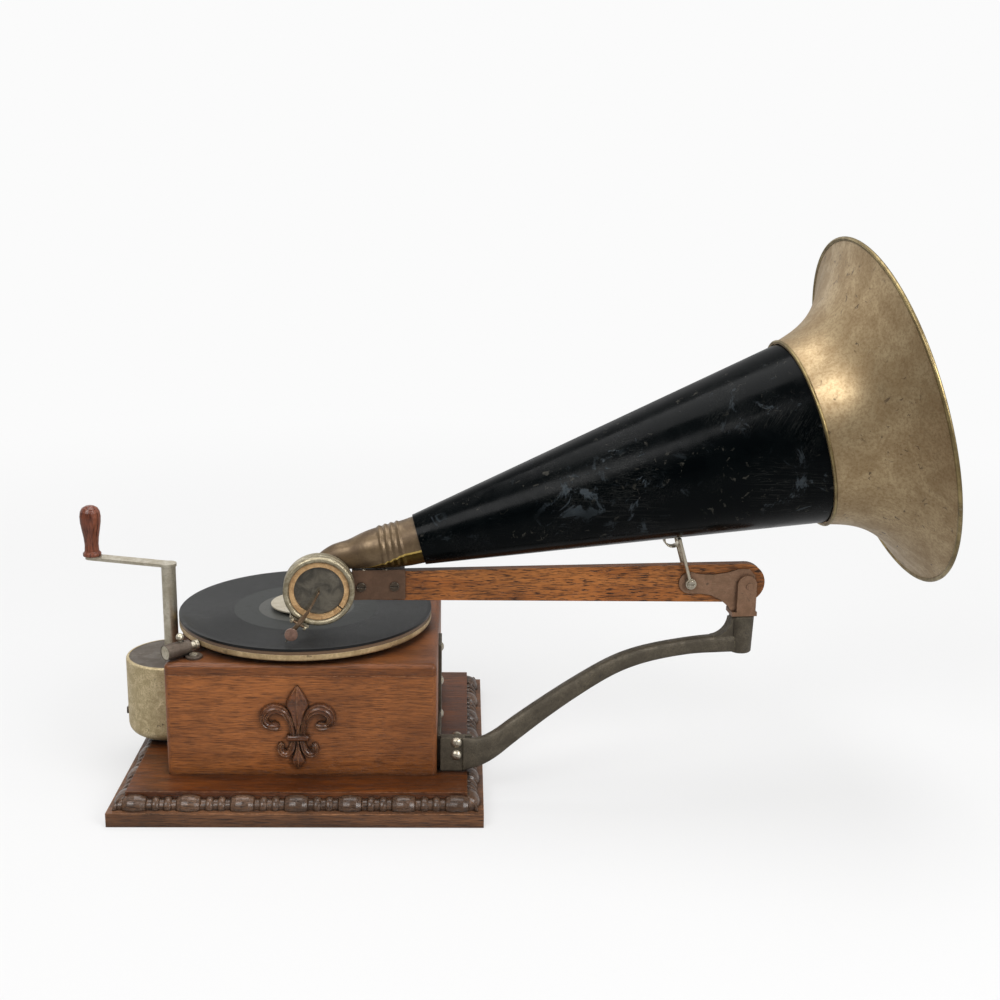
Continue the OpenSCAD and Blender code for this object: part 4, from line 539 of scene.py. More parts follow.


# The lily takes full painted shade in its corners.
LILY_WOOD = Wood("lily_wood", (132, 78, 44), (88, 50, 26), (34, 18, 9), edge=0.7, dirt=1.0, roughness=0.26,
                 coat=0.45)
BOX_NICKEL = Metal("box_nickel", (190, 180, 154), (120, 108, 84), (54, 46, 34), scale=230.0, patches=0.75,
                   specks=0.5, metallic=0.85, roughness=0.34, bump=0.05, edge=0.7)
SCREW = Metal("screw_steel", (206, 198, 182), (140, 128, 106), (60, 50, 38), scale=400.0, metallic=0.95,
              roughness=0.28, edge=0.6, radius=0.2)
CAST = Metal("cast_bracket", (92, 84, 70), (66, 59, 48), (38, 33, 26), (158, 146, 116), scale=95.0,
             patches=0.8, specks=0.6, pits=0.7, metallic=0.45, roughness=0.46, bump=0.12, edge=0.35,
             radius=0.8, scratches=0.5)
ELBOW = Metal("elbow_patina", (113, 94, 69), (80, 63, 45), (50, 38, 28), (170, 148, 108), scale=70.0,
              patches=0.8, specks=0.3, pits=0.2, metallic=0.5, bump=0.02)
ELBOW_SEAM = Metal("elbow_seam", (214, 186, 106), (160, 132, 66), (84, 64, 30), scale=110.0, patches=0.5,
                   metallic=0.9, roughness=0.3)
ELBOW_LOW = Metal("elbow_low", (104, 84, 36), (64, 50, 20), (36, 27, 12), (216, 186, 104), scale=90.0,
                  metallic=0.88, roughness=0.3)
BELL = Metal("bell_brass", (186, 164, 128), (136, 110, 76), (78, 60, 42), (220, 196, 140), scale=60.0,
             patches=0.5, specks=0.5, pits=0.95, metallic=0.82, roughness=0.4, spread=0.1, bump=0.02,
             scratches=0.12)
BELL_RIM = Metal("bell_rim", (164, 146, 102), (108, 92, 64), (72, 58, 40), scale=60.0, patches=0.8,
                 specks=0.2, pits=0.4, metallic=0.9, roughness=0.3)
THUMB = Metal("thumbscrew_metal", (150, 118, 104), (112, 86, 74), (58, 44, 36), (216, 204, 182), scale=300.0,
              metallic=0.75, roughness=0.32, edge=0.9, radius=0.3)
STYLUS = Metal("stylus_bar_metal", (122, 98, 74), (84, 66, 48), (48, 36, 26), metallic=0.7,
               scale=400.0)
JAPAN = Japan("japanned_sheet")

DRESSED: tuple[tuple[Finish, str], ...] = (
    (Wood("oak_across"), "case_front case_back"),
    # Slightly darker oak on the top board: painted shade from the turntable above it.
    (Wood("oak_top_painted_shade", (142, 84, 43), (114, 65, 31), (52, 28, 12)), "case_top"),
    (Wood("oak_side", grain=Grain.ALONG_Y), "case_left case_right"),
    (Wood("oak_base", (116, 62, 20), (82, 39, 9), (30, 15, 5), edge=0.35, lengthwise=60.0, crosswise=1200.0),
     "base_top_board"),
    (Wood("oak_slab", (134, 90, 58), (98, 64, 40), (38, 23, 13), edge=0.7, lengthwise=60.0, crosswise=1300.0,
          streak=0.85), "base_slab"),
    # The carved band takes full painted shade in its corners.
    (Wood("oak_carved", (108, 80, 60), (78, 56, 40), (28, 18, 12), edge=0.45, dirt=1.0, crosswise=1300.0,
          roughness=0.28, coat=0.3), "carved_band"),
    (LILY_WOOD, "carved_lily"),
    (Wood("arm_oak", (176, 110, 54), (144, 82, 34), (50, 26, 9), lengthwise=46.0, crosswise=900.0,
          streak=0.85, pores=0.9, edge=0.4), "horn_arm"),
    (Wood("handle_wood", (134, 78, 56), (98, 52, 38), (40, 19, 14), grain=Grain.UPRIGHT, crosswise=900.0,
          pores=0.15, roughness=0.24, edge=0.1, bump=0.05), "crank_handle"),
    (Metal("drum_plate", (218, 200, 160), (164, 146, 108), (84, 72, 50), scale=130.0, patches=0.75,
           specks=0.85, pits=0.95, metallic=0.45, roughness=0.42, bump=0.06), "drum_housing"),
    (Metal("drum_cap", (98, 90, 81), (84, 75, 66), (50, 42, 36), metallic=0.4, roughness=0.46, edge=0.7,
           scale=90.0), "drum_cap"),
    (Metal("dark_screw", (86, 74, 62), (60, 50, 40), (30, 24, 18), scale=400.0, metallic=0.7, roughness=0.4),
     "drum_screws clip_screws"),
    (SCREW, "brake_screws side_plate_screws bracket_bolts crutch_screws needle"),
    (Metal("worn_nickel", (214, 206, 188), (158, 146, 120), (66, 54, 38), scale=170.0, patches=0.55,
           specks=0.35, pits=0.9, metallic=0.9, roughness=0.3),
     "crank_shaft crank_arm brake_rod needle_screw crutch horn_hook spindle"),
    (Metal("clamp_nickel", (196, 188, 170), (178, 168, 148), (120, 108, 88), metallic=0.55, roughness=0.4),
     "record_clamp"),
    (BOX_NICKEL, "sound_box_shell stylus_spring"),
    (Metal("rim_plate", (204, 178, 136), (148, 124, 88), (84, 68, 46), scale=70.0, patches=0.75, specks=0.45,
           pits=0.7, metallic=0.55, roughness=0.4, scratches=0.15), "turntable"),
    (Metal("tube_steel", (98, 86, 76), (74, 62, 52), (34, 28, 22), metallic=0.6, roughness=0.42, scale=200.0),
     "brake_bracket brake_tube"),
    (CAST, "side_plate support_bracket"),
    (Metal("bronzed_steel", (146, 112, 88), (112, 84, 62), (60, 44, 32), (186, 164, 136), scale=110.0,
           metallic=0.5, roughness=0.42, bump=0.02), "swivel_fork hinge_pin arm_cheeks"),
    (Metal("clip_bronze", (100, 74, 56), (80, 58, 42), (46, 34, 26), (168, 150, 122), scale=110.0,
           metallic=0.4, roughness=0.42, bump=0.02), "front_clip"),
    (ELBOW, "elbow"),
    (BELL, "horn_bell"),
    (JAPAN, "horn_cone"),
    (Shellac("shellac_disc"), "record"),
    (Cloth("felt"), "turntable_felt"),
    (Gum("gasket_gum"), "sound_box_gaskets"),
    (Mica("mica_sheet"), "diaphragm"),
    (STYLUS, "stylus_bar"),
    (Metal("motor_steel", (176, 176, 172), (130, 126, 116), metallic=0.95),
     "motor_lower_plate ratchet_wheel ratchet_pawl governor_shaft spring_barrel"),
    (Metal("motor_brass", (214, 180, 112), (164, 130, 76), (80, 58, 32), (236, 208, 140), metallic=0.95,
           roughness=0.3),
     "motor_upper_plate motor_pillars barrel_gear first_arbor second_arbor governor_wheel governor_weights"),
    (Metal("spring_steel", (120, 128, 142), (84, 88, 98), (44, 40, 40), metallic=0.95, roughness=0.28),
     "mainspring"),
)


class Workshop:
    """Holds the frame, the shared effects and the finishes already made."""

    def __init__(self, frame: dict) -> None:
        """Keeps the frame and builds the shared effects."""
        self.nodes: dict[str, bpy.types.Object] = frame["nodes"]
        self.bodies: dict[str, str] = {
            node: body for body, nodes in frame["record"]["behaviour"]["bodies"].items() for node in nodes}
        self.slots: dict[str, str] = {s["node"]: s["material_slot"] for s in frame["record"]["subparts"]}
        self.effects = Effects()
        self.made: dict[str, bpy.types.Material] = {}

    def material(self, finish: Finish) -> bpy.types.Material:
        """The finish's material, made at its first use."""
        if finish.name not in self.made:
            self.made[finish.name] = finish.make(self.effects)
        return self.made[finish.name]

    def dress(self, finish: Finish, nodes: str) -> None:
        """Gives CAD nodes a finish.

        Args:
            finish: The finish to use.
            nodes: Names of the CAD nodes, with spaces between them.
        """
        for name in nodes.split():
            mesh = self.nodes[name].data
            mesh.materials.clear()
            mesh.materials.append(self.material(finish))
            log.info("dressed %s with %s", name, finish.name)

    def piece(self, name: str, shell: Shell, finish: Finish, stands_for: str, hide: bool = True,
              sharp: float = 40.0) -> bpy.types.Object:
        """Adds a new piece that rides where a CAD node rides.

        Args:
            name: Name of the piece.
            shell: Its skins, in the row frame.
            finish: Its finish.
            stands_for: The CAD node it replaces or sits on.
            hide: Whether the node is replaced.
            sharp: Angle in degrees above which an edge stays sharp.

        Returns:
            The new object.
        """
        mesh = shell.mesh(name)
        made = bpy.data.objects.new(name, mesh)
        bpy.context.scene.collection.objects.link(made)
        mesh.materials.append(self.material(finish))
        mesh.polygons.foreach_set("use_smooth", [True] * len(mesh.polygons))
        mesh.set_sharp_from_angle(angle=math.radians(sharp))
        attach(made, self.bodies[stands_for])
        if hide:
            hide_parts(stands_for)
        log.info("built %s for %s", name, stands_for)
        return made


def smooth_line(stations: Sequence[Sequence[float]], steps: int) -> list[tuple[float, ...]]:
    """Smooth curve through stations of any number of values.

    Args:
        stations: The stations it passes through.
        steps: Steps from one station to the next.

    Returns:
        The curve's own stations.
    """
    line: list[tuple[float, ...]] = []
    last = len(stations) - 1
    for i in range(last):
        four = zip(stations[max(0, i - 1)], stations[i], stations[i + 1], stations[min(last, i + 2)])
        parts = [(2 * q, r - p, 2 * p - 5 * q + 4 * r - w, 3 * q - p - 3 * r + w) for p, q, r, w in four]
        for k in range(steps):
            t = k / steps
            line.append(tuple(0.5 * (a + b * t + c * t * t + d * t ** 3) for a, b, c, d in parts))
    line.append(tuple(stations[last]))
    return line


def walk(line: Sequence[Sequence[float]], axes: int) -> Iterator[tuple[Sequence[float], Vector]]:
    """Goes along a line.

    Args:
        line: Its stations.
        axes: How many first values of a station are its place.

    Yields:
        Each station and the line's direction there.
    """
    for i, station in enumerate(line):
        before, after = line[max(0, i - 1)], line[min(len(line) - 1, i + 1)]
        yield station, Vector([b - a for a, b in zip(before[:axes], after[:axes])]).normalized()


def circle(steps: int) -> Pairs:
    """Cosine and sine of each of some equal turns."""
    return [(math.cos(2 * math.pi * k / steps), math.sin(2 * math.pi * k / steps)) for k in range(steps)]


def arc(middle: tuple[float, float], radius: float, start: float, end: float, steps: int) -> Pairs:
    """Points of an arc, by angles in degrees."""
    turns = [math.radians(start + (end - start) * k / steps) for k in range(steps + 1)]
    return [(middle[0] + radius * math.cos(a), middle[1] + radius * math.sin(a)) for a in turns]


def clamp(value: float) -> float:
    """The value kept between 0 and 1."""
    return min(1.0, max(0.0, value))


def move(x: float, y: float, z: float) -> Matrix:
    """A shift in millimetres."""
    return Matrix.Translation((x, y, z))


def spin(degrees: float, axis: str) -> Matrix:
    """A turn about an axis."""
    return Matrix.Rotation(math.radians(degrees), 4, axis)


class Shell:
    """Collects closed skins in millimetres and makes one mesh of them."""

    def __init__(self, place: Matrix = Matrix.Identity(4)) -> None:
        """Keeps the place of the skins that follow."""
        self.place = place
        self.points: list[Vector] = []
        self.faces: list[tuple[int, ...]] = []
        self.marks: list[int] = []

    def skin(self, rings: Rings, loop: bool = False, marks: Sequence[int] = ()) -> Shell:
        """Skins rings of equal count.

        Args:
            rings: The rings in order.
            loop: Whether the last ring meets the first; otherwise both ends are closed.
            marks: Material number of each face round a ring.

        Returns:
            The shell itself.
        """
        start, sides, count = len(self.points), len(rings[0]), len(rings)
        for ring in rings:
            self.points.extend(self.place @ p for p in ring)
        for i in range(count if loop else count - 1):
            a, b = start + i * sides, start + (i + 1) % count * sides
            self.faces.extend((a + j, a + (j + 1) % sides, b + (j + 1) % sides, b + j) for j in range(sides))
            self.marks.extend(marks or [0] * sides)
        if not loop:
            end = start + (count - 1) * sides
            self.faces += [tuple(reversed(range(start, start + sides))), tuple(range(end, end + sides))]
            self.marks += [0, 0]
        return self

    def turned(self, outline: Pairs, steps: int = 96) -> Shell:
        """Turns a closed outline of radius and height about Z."""
        rings = [[Vector((r * c, r * n, z)) for r, z in outline] for c, n in circle(steps)]
        return self.skin(rings, loop=True)

    def plate(self, outline: Pairs, low: float, high: float) -> Shell:
        """Raises a flat outline from one height to another."""
        return self.skin([[Vector((x, y, z)) for x, y in outline] for z in (low, high)])

    def mesh(self, name: str) -> bpy.types.Mesh:
        """Makes the mesh, in metres, with its doubled points joined."""
        made = bpy.data.meshes.new(name)
        made.from_pydata([p * MM for p in self.points], [], self.faces)
        made.polygons.foreach_set("material_index", self.marks)
        work = bmesh.new()
        work.from_mesh(made)
        bmesh.ops.remove_doubles(work, verts=work.verts, dist=2e-6)
        bmesh.ops.dissolve_degenerate(work, edges=work.edges, dist=1e-7)
        bmesh.ops.recalc_face_normals(work, faces=work.faces)
        work.to_mesh(made)
        work.free()
        return made


HORN_FOOT = (-240.9, 0.0, 30.5)
HORN_PITCH = 15.25
KNEE = (-290.2, 0.0, 6.4)
BOX_AT = (-290.2, -20.5, 6.4)
ARM_TOP = 15.7
BAR_PIN = (-13.45, -1.6, -20.7)
NEEDLE_AT = (-18.1, -1.0, -26.4)

ARM = move(300.0, -26.0, 136.4) @ spin(5, "Z")
HORN = ARM @ move(*HORN_FOOT) @ spin(-HORN_PITCH, "Y")
BOX = ARM @ move(*BOX_AT)
TO_PIN = Matrix.Rotation(-math.atan2(BAR_PIN[2], BAR_PIN[0]), 4, "Y")
ALONG_X = spin(90, "Y")
FACE_ON = spin(-90, "X")
FACE_BACK = spin(90, "X")


@dataclass
class Horn:
    """Black cone and brass bell of the horn; stations run along its axis."""

    shop: Workshop
    small: float = 17.0
    large: float = 62.0
    start: float = 17.1
    length: float = 265.5
    depth: float = 58.0
    rim: float = 117.2
    slope: float = 16.0
    power: float = 3.15
    wall: float = 0.7
    lap: float = 3.0
    bead: float = 1.5
    seam: float = 1.1
    rows: int = 12
    steps: int = 44
    sides: int = 192

    def bell_radius(self, share: float) -> float:
        """Inner radius of the bell at a share of its depth."""
        first = self.large + 0.1
        return first + self.slope * share + (self.rim - first - self.slope) * share ** self.power

    def build(self) -> None:
        """Builds the cone, the bell, its rolled rim and its seam."""
        end = self.start + self.length
        foot = end - self.lap
        cone = [(self.small + (self.large - self.small) * k / self.rows,
                 self.start + self.length * k / self.rows) for k in range(self.rows + 1)]
        cone += [(self.large - self.wall, end), (self.small - self.wall, self.start)]
        shares = [k / self.steps for k in range(self.steps + 1)]
        bell = [(self.bell_radius(t) + self.wall, foot + self.depth * t) for t in shares]
        bell += [(self.bell_radius(t), foot + self.depth * t) for t in reversed(shares)]
        rim = arc((self.rim + 0.2, foot + self.depth), self.bead, 0, 345, 23)
        seam = arc((self.large + 1.2, foot + 1.0), self.seam, 0, 337.5, 15)
        for name, outline, finish, node in (
                ("cone", cone, JAPAN, "horn_cone"), ("bell", bell, BELL, "horn_bell"),
                ("bell_rim", rim, BELL_RIM, "horn_bell"), ("bell_seam", seam, BELL_RIM, "horn_bell")):
            self.shop.piece(name, Shell(HORN @ ALONG_X).turned(outline, self.sides), finish, node)


@dataclass
class Elbow:
    """Tube from the sound box up over the arm and into the horn, with four ribs and a side seam."""

    shop: Workshop
    mouth_from: float = 17.1
    mouth_to: float = 23.0
    mouth: float = 15.9
    taper: float = 0.1695
    knee: float = 9.0
    neck: float = 9.2
    rib_from: float = -250.5
    rib_pitch: float = 4.0
    ribs: int = 4
    rise: float = 0.95
    seam: float = 0.45
    seam_from: float = -272.0
    seam_run: float = 36.0
    seam_turn: float = 262.0
    seam_swing: float = 72.0
    seam_power: float = 0.7
    low_sides: int = 21
    sides: int = 72
    steps: int = 22

    def stations(self) -> list[tuple[float, ...]]:
        """Places along the arm, heights, outer radii and the share of the radius kept across."""
        pitch = math.radians(HORN_PITCH)
        ends = [(HORN_FOOT[0] + s * math.cos(pitch), HORN_FOOT[2] + s * math.sin(pitch),
                 self.mouth + (s - self.mouth_from) * self.taper, 1.0)
                for s in (self.mouth_from, self.mouth_to)]
        return [(-289.8, 9.0, 8.8, 0.9), (-285.6, 17.4, 9.3, 0.86), (-278.2, 23.4, 9.3, 0.86),
                (-268.3, ARM_TOP + 10.3, 9.9, 0.95), (-259.0, ARM_TOP + 12.5, 12.1, 1.0),
                (self.rib_from, ARM_TOP + 14.05, 13.6, 1.0), (-234.5, ARM_TOP + 16.75, 15.1, 1.0), *ends]

    def rib(self, x: float) -> float:
        """Height of the ribs at a place along the arm."""
        share = (x - self.rib_from) / self.rib_pitch
        if share < 0 or share > self.ribs:
            return 0.0
        return self.rise * math.sin(math.pi * (share % 1)) ** 2

    def ring(self, station: Sequence[float], way: Vector) -> list[Vector]:
        """Points round the tube at a station, from its seam on.

        Args:
            station: Place, height, radius and share of the width.
            way: The tube's direction there.

        Returns:
            The ring.
        """
        x, z, radius, width = station
        share = clamp((x - self.seam_from) / self.seam_run)
        turn = self.seam_turn - self.seam_swing * share ** self.seam_power
        ring = []
        for j in range(self.sides):
            angle = math.radians(turn + 360 * j / self.sides)
            out = radius + self.rib(x) * clamp((math.sin(angle) + 0.9) / 0.25)
            if j < 2:
                out += self.seam * min(1.0, share * 6)
            lift = out * math.sin(angle)
            ring.append(Vector((x - lift * way[1], out * math.cos(angle) * width, z + lift * way[0])))
        return ring

    def build(self) -> None:
        """Builds the tube with its seam and low side, the knee and the neck."""
        rings = [self.ring(*step) for step in walk(smooth_line(self.stations(), self.steps), 2)]
        marks = [1] + [2] * self.low_sides + [0] * (self.sides - self.low_sides - 1)
        made = self.shop.piece("elbow_tube", Shell(ARM).skin(rings, marks=marks), ELBOW, "elbow")
        for finish in (ELBOW_SEAM, ELBOW_LOW):
            made.data.materials.append(self.shop.material(finish))
        ball = Shell(ARM @ move(*KNEE)).turned(arc((0.0, 0.0), self.knee, 90, -90, 24), 48)
        self.shop.piece("elbow_knee", ball, ELBOW, "elbow")
        neck = Shell(ARM @ move(*KNEE) @ FACE_ON).turned(
            [(0.0, -8.2), (self.neck, -8.2), (self.neck, -1.6), (0.0, -1.6)], 48)
        self.shop.piece("elbow_neck", neck, ELBOW, "elbow")


NEEDLE_BAR = [(0, 2.6, 0, 0.6, 0.6), (0, -0.2, 0, 0.6, 0.6), (-0.5, -1.5, -0.7, 0.65, 0.6),
              (-2.6, -1.7, -4.6, 0.75, 0.6), (-5.9, -1.6, -10.6, 0.85, 0.65), (-9.3, -1.6, -15.6, 1.3, 0.75),
              (-11.6, -1.6, -18.4, 1.75, 0.9), (-13.6, -1.6, -21.0, 1.7, 1.3), (-15.6, -1.3, -23.6, 1.5, 1.4),
              (-18.1, -1.0, -26.4, 1.9, 1.8), (-18.9, -0.9, -27.6, 1.6, 1.6)]


@dataclass
class SoundBox:
    """Ring, spring plate, needle bar and thumbscrew of the sound box, about its front centre."""

    shop: Workshop
    radius: float = 23.2
    ring: float = 3.8
    depth: float = 12.0
    seat: float = 6.8
    free: float = 16.2
    neck: float = 7.4
    wall: float = 1.4
    leaf_in: float = 23.3
    leaf_out: float = 24.6
    plate_out: float = 24.4
    teeth: int = 40

    def shell(self) -> None:
        """Builds the ring with its rolled front, inner groove and back."""
        radius, back, neck, bead = self.radius, self.depth, self.neck, self.ring / 2
        inner = radius - self.ring
        outline = [(neck - self.wall, back - 2), (inner - 0.6, back - 2), (self.free, back - 2),
                   (self.free, self.seat), (inner, self.seat), (inner, 2.6), (inner + 0.35, 1.2)]
        outline += arc((radius - bead, bead), bead, 200, 360, 16)
        outline += [(radius, 4.4), (radius - 0.35, 4.7), (radius - 0.35, 5.3), (radius, 5.6),
                    (radius, back - 0.6), (radius - 0.6, back), (neck, back), (neck, back + 6),
                    (neck - self.wall, back + 6)]
        ring = Shell(BOX @ FACE_ON).turned(outline, 160)
        self.shop.piece("box_ring", ring, BOX_NICKEL, "sound_box_shell")

    def bar(self) -> None:
        """Builds the curved needle bar with its socket and cross pin."""
        rings: Rings = []
        for (x, y, z, wide, thick), way in walk(smooth_line(NEEDLE_BAR, 8), 3):
            side = way.cross(Vector((0.0, 1.0, 0.12))).normalized()
            lift = side.cross(way).normalized()
            rings.append([Vector((x, y, z)) + side * wide * c + lift * thick * n for c, n in circle(20)])
        made = Shell(BOX).skin(rings)
        made.place = BOX @ move(*BAR_PIN) @ TO_PIN
        made.turned([(0.0, -5.8), (0.75, -5.8), (0.9, -5.6), (0.9, 5.6), (0.75, 5.8), (0.0, 5.8)], 24)
        self.shop.piece("needle_bar", made, STYLUS, "stylus_bar")

    def spring(self) -> None:
        """Builds the two spring leaves, their ears and screws on the ring's lower left edge."""
        place = BOX @ TO_PIN
        made = Shell(place @ FACE_BACK)
        inner, top = self.leaf_in, self.leaf_out
        for low, high, half in ((-0.3, 0.25, 7.0), (0.35, 0.9, 6.6)):
            made.plate([(inner, -half), (top - 0.3, -half), (top, -half + 0.3), (top, half - 0.3),
                        (top - 0.3, half), (inner, half)], -high, -low)
        made.plate([(23.0, -7), (self.plate_out, -7), (self.plate_out, 7), (23.0, 7)], -7.0, -1.0)
        for side, low in ((-1, -5.6), (1, 4.2)):
            made.place = place
            made.plate([(23.5, 1.9), (23.5, -2.6), (24.1, -3.2), (25.7, -3.2), (26.3, -2.6), (26.3, 1.9)],
                       low, low + 1.4)
            made.place = place @ move(self.plate_out, 4.6, side * 5) @ ALONG_X
            made.turned([(0.0, 0.0), (1.5, 0.0), (1.5, 0.9), (1.0, 1.35), (0.0, 1.45)], 24)
        self.shop.piece("spring_leaves", made, BOX_NICKEL, "stylus_spring")

    def thumbscrew(self) -> None:
        """Builds the needle's thumbscrew with a milled edge."""
        rings: Rings = []
        for radius, height, deep in ((3.7, -5.9, 0), (4.25, -5.7, 0.12), (4.25, -4.3, 0.12), (3.8, -4.1, 0)):
            rings.append([Vector(((radius - deep * (j % 2)) * c, (radius - deep * (j % 2)) * n, height))
                          for j, (c, n) in enumerate(circle(2 * self.teeth))])
        made = Shell(BOX @ move(*NEEDLE_AT) @ FACE_ON).skin(rings)
        made.turned([(0.0, -4.2), (2.0, -4.2), (2.0, -2.9), (0.8, -2.6), (0.8, -0.8), (0.0, -0.8)], 32)
        made.turned([(0.0, -5.95), (2.6, -5.95), (2.9, -5.8), (0.0, -5.8)], 40)
        self.shop.piece("thumbscrew", made, THUMB, "needle_screw")

    def build(self) -> None:
        """Builds every piece."""
        self.shell()
        self.bar()
        self.spring()
        self.thumbscrew()


PETAL = [(-0.048, 0.385, 0.026, 0.7), (-0.058, 0.46, 0.027, 0.75), (-0.075, 0.56, 0.028, 0.8),
         (-0.115, 0.643, 0.034, 0.85), (-0.152, 0.697, 0.042, 0.9), (-0.243, 0.727, 0.05, 0.95),
         (-0.33, 0.695, 0.052, 1), (-0.372, 0.627, 0.043, 1), (-0.36, 0.568, 0.038, 0.95),
         (-0.317, 0.527, 0.035, 0.9), (-0.25, 0.525, 0.045, 0.9), (-0.205, 0.53, 0.022, 0.7)]
SEPAL = [(-0.048, 0.36, 0.026, 0.65), (-0.058, 0.3, 0.03, 0.7), (-0.082, 0.235, 0.036, 0.8),
         (-0.12, 0.195, 0.036, 0.85), (-0.163, 0.195, 0.035, 0.85), (-0.192, 0.238, 0.035, 0.85),
         (-0.19, 0.288, 0.03, 0.8), (-0.17, 0.315, 0.02, 0.6)]
SPEAR = [(0, 0.38, 0.026, 0.6), (0, 0.48, 0.022, 0.75), (0, 0.58, 0.046, 0.85), (0, 0.69, 0.076, 0.95),
         (0, 0.768, 0.104, 1), (0, 0.84, 0.088, 0.95), (0, 0.92, 0.052, 0.75), (0, 1, 0.004, 0.4)]
FOOT = [(0, 0.38, 0.02, 0.6), (0, 0.29, 0.015, 0.7), (0, 0.2, 0.034, 0.8), (0, 0.108, 0.064, 0.9),
        (0, 0.05, 0.038, 0.75), (0, 0, 0.004, 0.4)]


@dataclass
class Lily:
    """Carved lily on the case's front; stations are shares of its height."""

    shop: Workshop
    height: float = 58.7
    thick: float = 4.0
    place: Place = (-1.5, -81.25, 24.0)
    full: float = 1.22
    band_low: float = 0.352
    band_high: float = 0.414
    band_half: float = 0.125
    steps: int = 9

    def leaf(self, shell: Shell, stations: Sequence[Sequence[float]], flip: float, ridge: float) -> None:
        """Carves one leaf with a raised midrib and rolled edges.

        Args:
            shell: The shell that takes it.
            stations: Place, half width and height of each station.
            flip: 1 or -1 for its mirror image.
            ridge: Depth of the hollow on both sides of the midrib, as a share of the height.
        """
        profile = [(-1.0, -0.2), (-0.98, 0.3), (-0.9, 0.62), (-0.72, 0.82), (-0.45, 0.86 - ridge),
                   (-0.2, 0.93 - ridge), (0.0, 1.0), (0.2, 0.93 - ridge), (0.45, 0.86 - ridge), (0.72, 0.8),
                   (0.9, 0.58), (0.98, 0.28), (1.0, -0.2)]
        rings: Rings = []
        for (x, y, half, rise), way in walk(smooth_line(stations, self.steps), 2):
            wide = half * self.full
            ring = []
            for across, up in profile:
                px = (x - way[1] * across * wide) * flip
                pz = y + way[0] * across * wide
                lift = max(0.05, (up if up < 0 else up * rise) * self.thick)
                ring.append(Vector((px * self.height, -lift, pz * self.height)))
            rings.append(ring)
        shell.skin(rings)

    def build(self) -> None:
        """Builds the leaves, the spear, the foot and the band."""
        shell = Shell(move(*self.place))
        for flip in (1.0, -1.0):
            self.leaf(shell, PETAL, flip, 0.2)
            self.leaf(shell, SEPAL, flip, 0.18)
        self.leaf(shell, SPEAR, 1.0, 0.14)
        self.leaf(shell, FOOT, 1.0, 0.1)
        half, low, high = (v * self.height for v in (self.band_half, self.band_low, self.band_high))
        deep = self.thick
        sides = [(0.0, low), (-deep * 0.7, low), (-deep * 0.93, low + 0.5), (-deep, (low + high) / 2),
                 (-deep * 0.93, high - 0.5), (-deep * 0.7, high), (0.0, high)]
        ends = [(-half, 0.5), (-half + 0.3, 0.86), (-half + 1.0, 1.0), (half - 1.0, 1.0), (half - 0.3, 0.86),
                (half, 0.5)]
        shell.skin([[Vector((x, y * share - 0.05, z)) for y, z in sides] for x, share in ends])
        self.shop.piece("lily", shell, LILY_WOOD, "carved_lily", sharp=50.0)


BAR_CURVE = [(0.03, 0.015, 1.34, 0.75), (0.085, 0.085, 1.26, 0.95), (0.16, 0.24, 1.18, 1),
             (0.27, 0.455, 1.04, 1), (0.38, 0.65, 0.94, 1), (0.49, 0.82, 0.86, 1), (0.58, 0.915, 0.8, 1),
             (0.68, 0.97, 0.76, 1), (0.8, 1, 0.76, 1), (0.9, 1, 0.82, 1.05), (1, 0.99, 0.86, 1.1)]


@dataclass
class Bracket:
    """Cast support bracket from the side plate's flange to the swivel boss."""

    shop: Workshop
    start: tuple[float, float] = (111.95, -73.75)
    end: tuple[float, float] = (297.5095, -26.2179)
    root_low: float = 20.2
    root_high: float = 43.5
    root_y: float = -71.75
    root_t: float = 4.0
    bar_t: float = 9.0
    bar_h: float = 15.0
    bar_end: float = 6.8
    corner: float = 0.6
    bore: float = 5.06
    boss_r: float = 8.6
    boss_h: float = 26.8
    boss_top: float = 115.0
    fillet: float = 13.0
    sides: int = 40

    def bar(self, span: float, start_z: float, end_z: float) -> Rings:
        """Rings of the curved bar.

        Args:
            span: Its length from above.
            start_z: Height of its root.
            end_z: Height of its end.

        Returns:
            The rings, along X.
        """
        root = (self.root_high - self.root_low) / self.bar_h
        stations = [(-0.03, 0, root, 0.4), *BAR_CURVE]
        edge = [(math.copysign(abs(c) ** self.corner, c), math.copysign(abs(n) ** self.corner, n))
                for c, n in circle(self.sides)]
        return [[Vector((along * span, thick * self.bar_t / 2 * c,
                         start_z + rise * (end_z - start_z) + high * self.bar_h / 2 * n)) for c, n in edge]
                for along, rise, high, thick in smooth_line(stations, 6)]

    def build(self) -> None:
        """Builds the bar, the boss, the fillet and the root."""
        across = Vector((self.end[0] - self.start[0], self.end[1] - self.start[1]))
        turn = Matrix.Rotation(math.atan2(across[1], across[0]), 4, "Z")
        low, high, boss, top = self.root_low, self.root_high, self.boss_r, self.boss_h
        end_z = self.boss_top - top + self.bar_end
        shell = Shell(move(*self.start, 0.0) @ turn).skin(self.bar(across.length, (low + high) / 2, end_z))
        shell.place = move(*self.end, self.boss_top - top)
        shell.turned([(self.bore, 2.0), (boss - 1.6, 0.0), (boss - 1.0, 0.6), (boss - 0.05, top - 1.0),
                      (boss - 0.6, top - 0.3), (boss - 1.3, top), (self.bore, top)], 72)
        shell.place = move(*self.end, end_z) @ turn @ FACE_BACK
        rim = boss + self.fillet + 0.2
        fillet = arc((-rim, 18.7), self.fillet, -88, -4, 14)
        fillet += [(1.0 - boss, 18.0), (1.0 - boss, 0.0), (-rim, 0.0)]
        shell.plate(fillet, -self.bar_t * 0.44, self.bar_t * 0.44)
        shell.place = move(0.0, self.root_y, 0.0) @ FACE_BACK
        shell.plate([(91.65, low + 0.6), (92.25, low), (107.4, low), (107.95, low + 0.6),
                     (107.95, high - 0.6), (107.4, high), (92.25, high), (91.65, high - 0.6)],
                    0.0, self.root_t)
        self.shop.piece("bracket_casting", shell, CAST, "support_bracket")


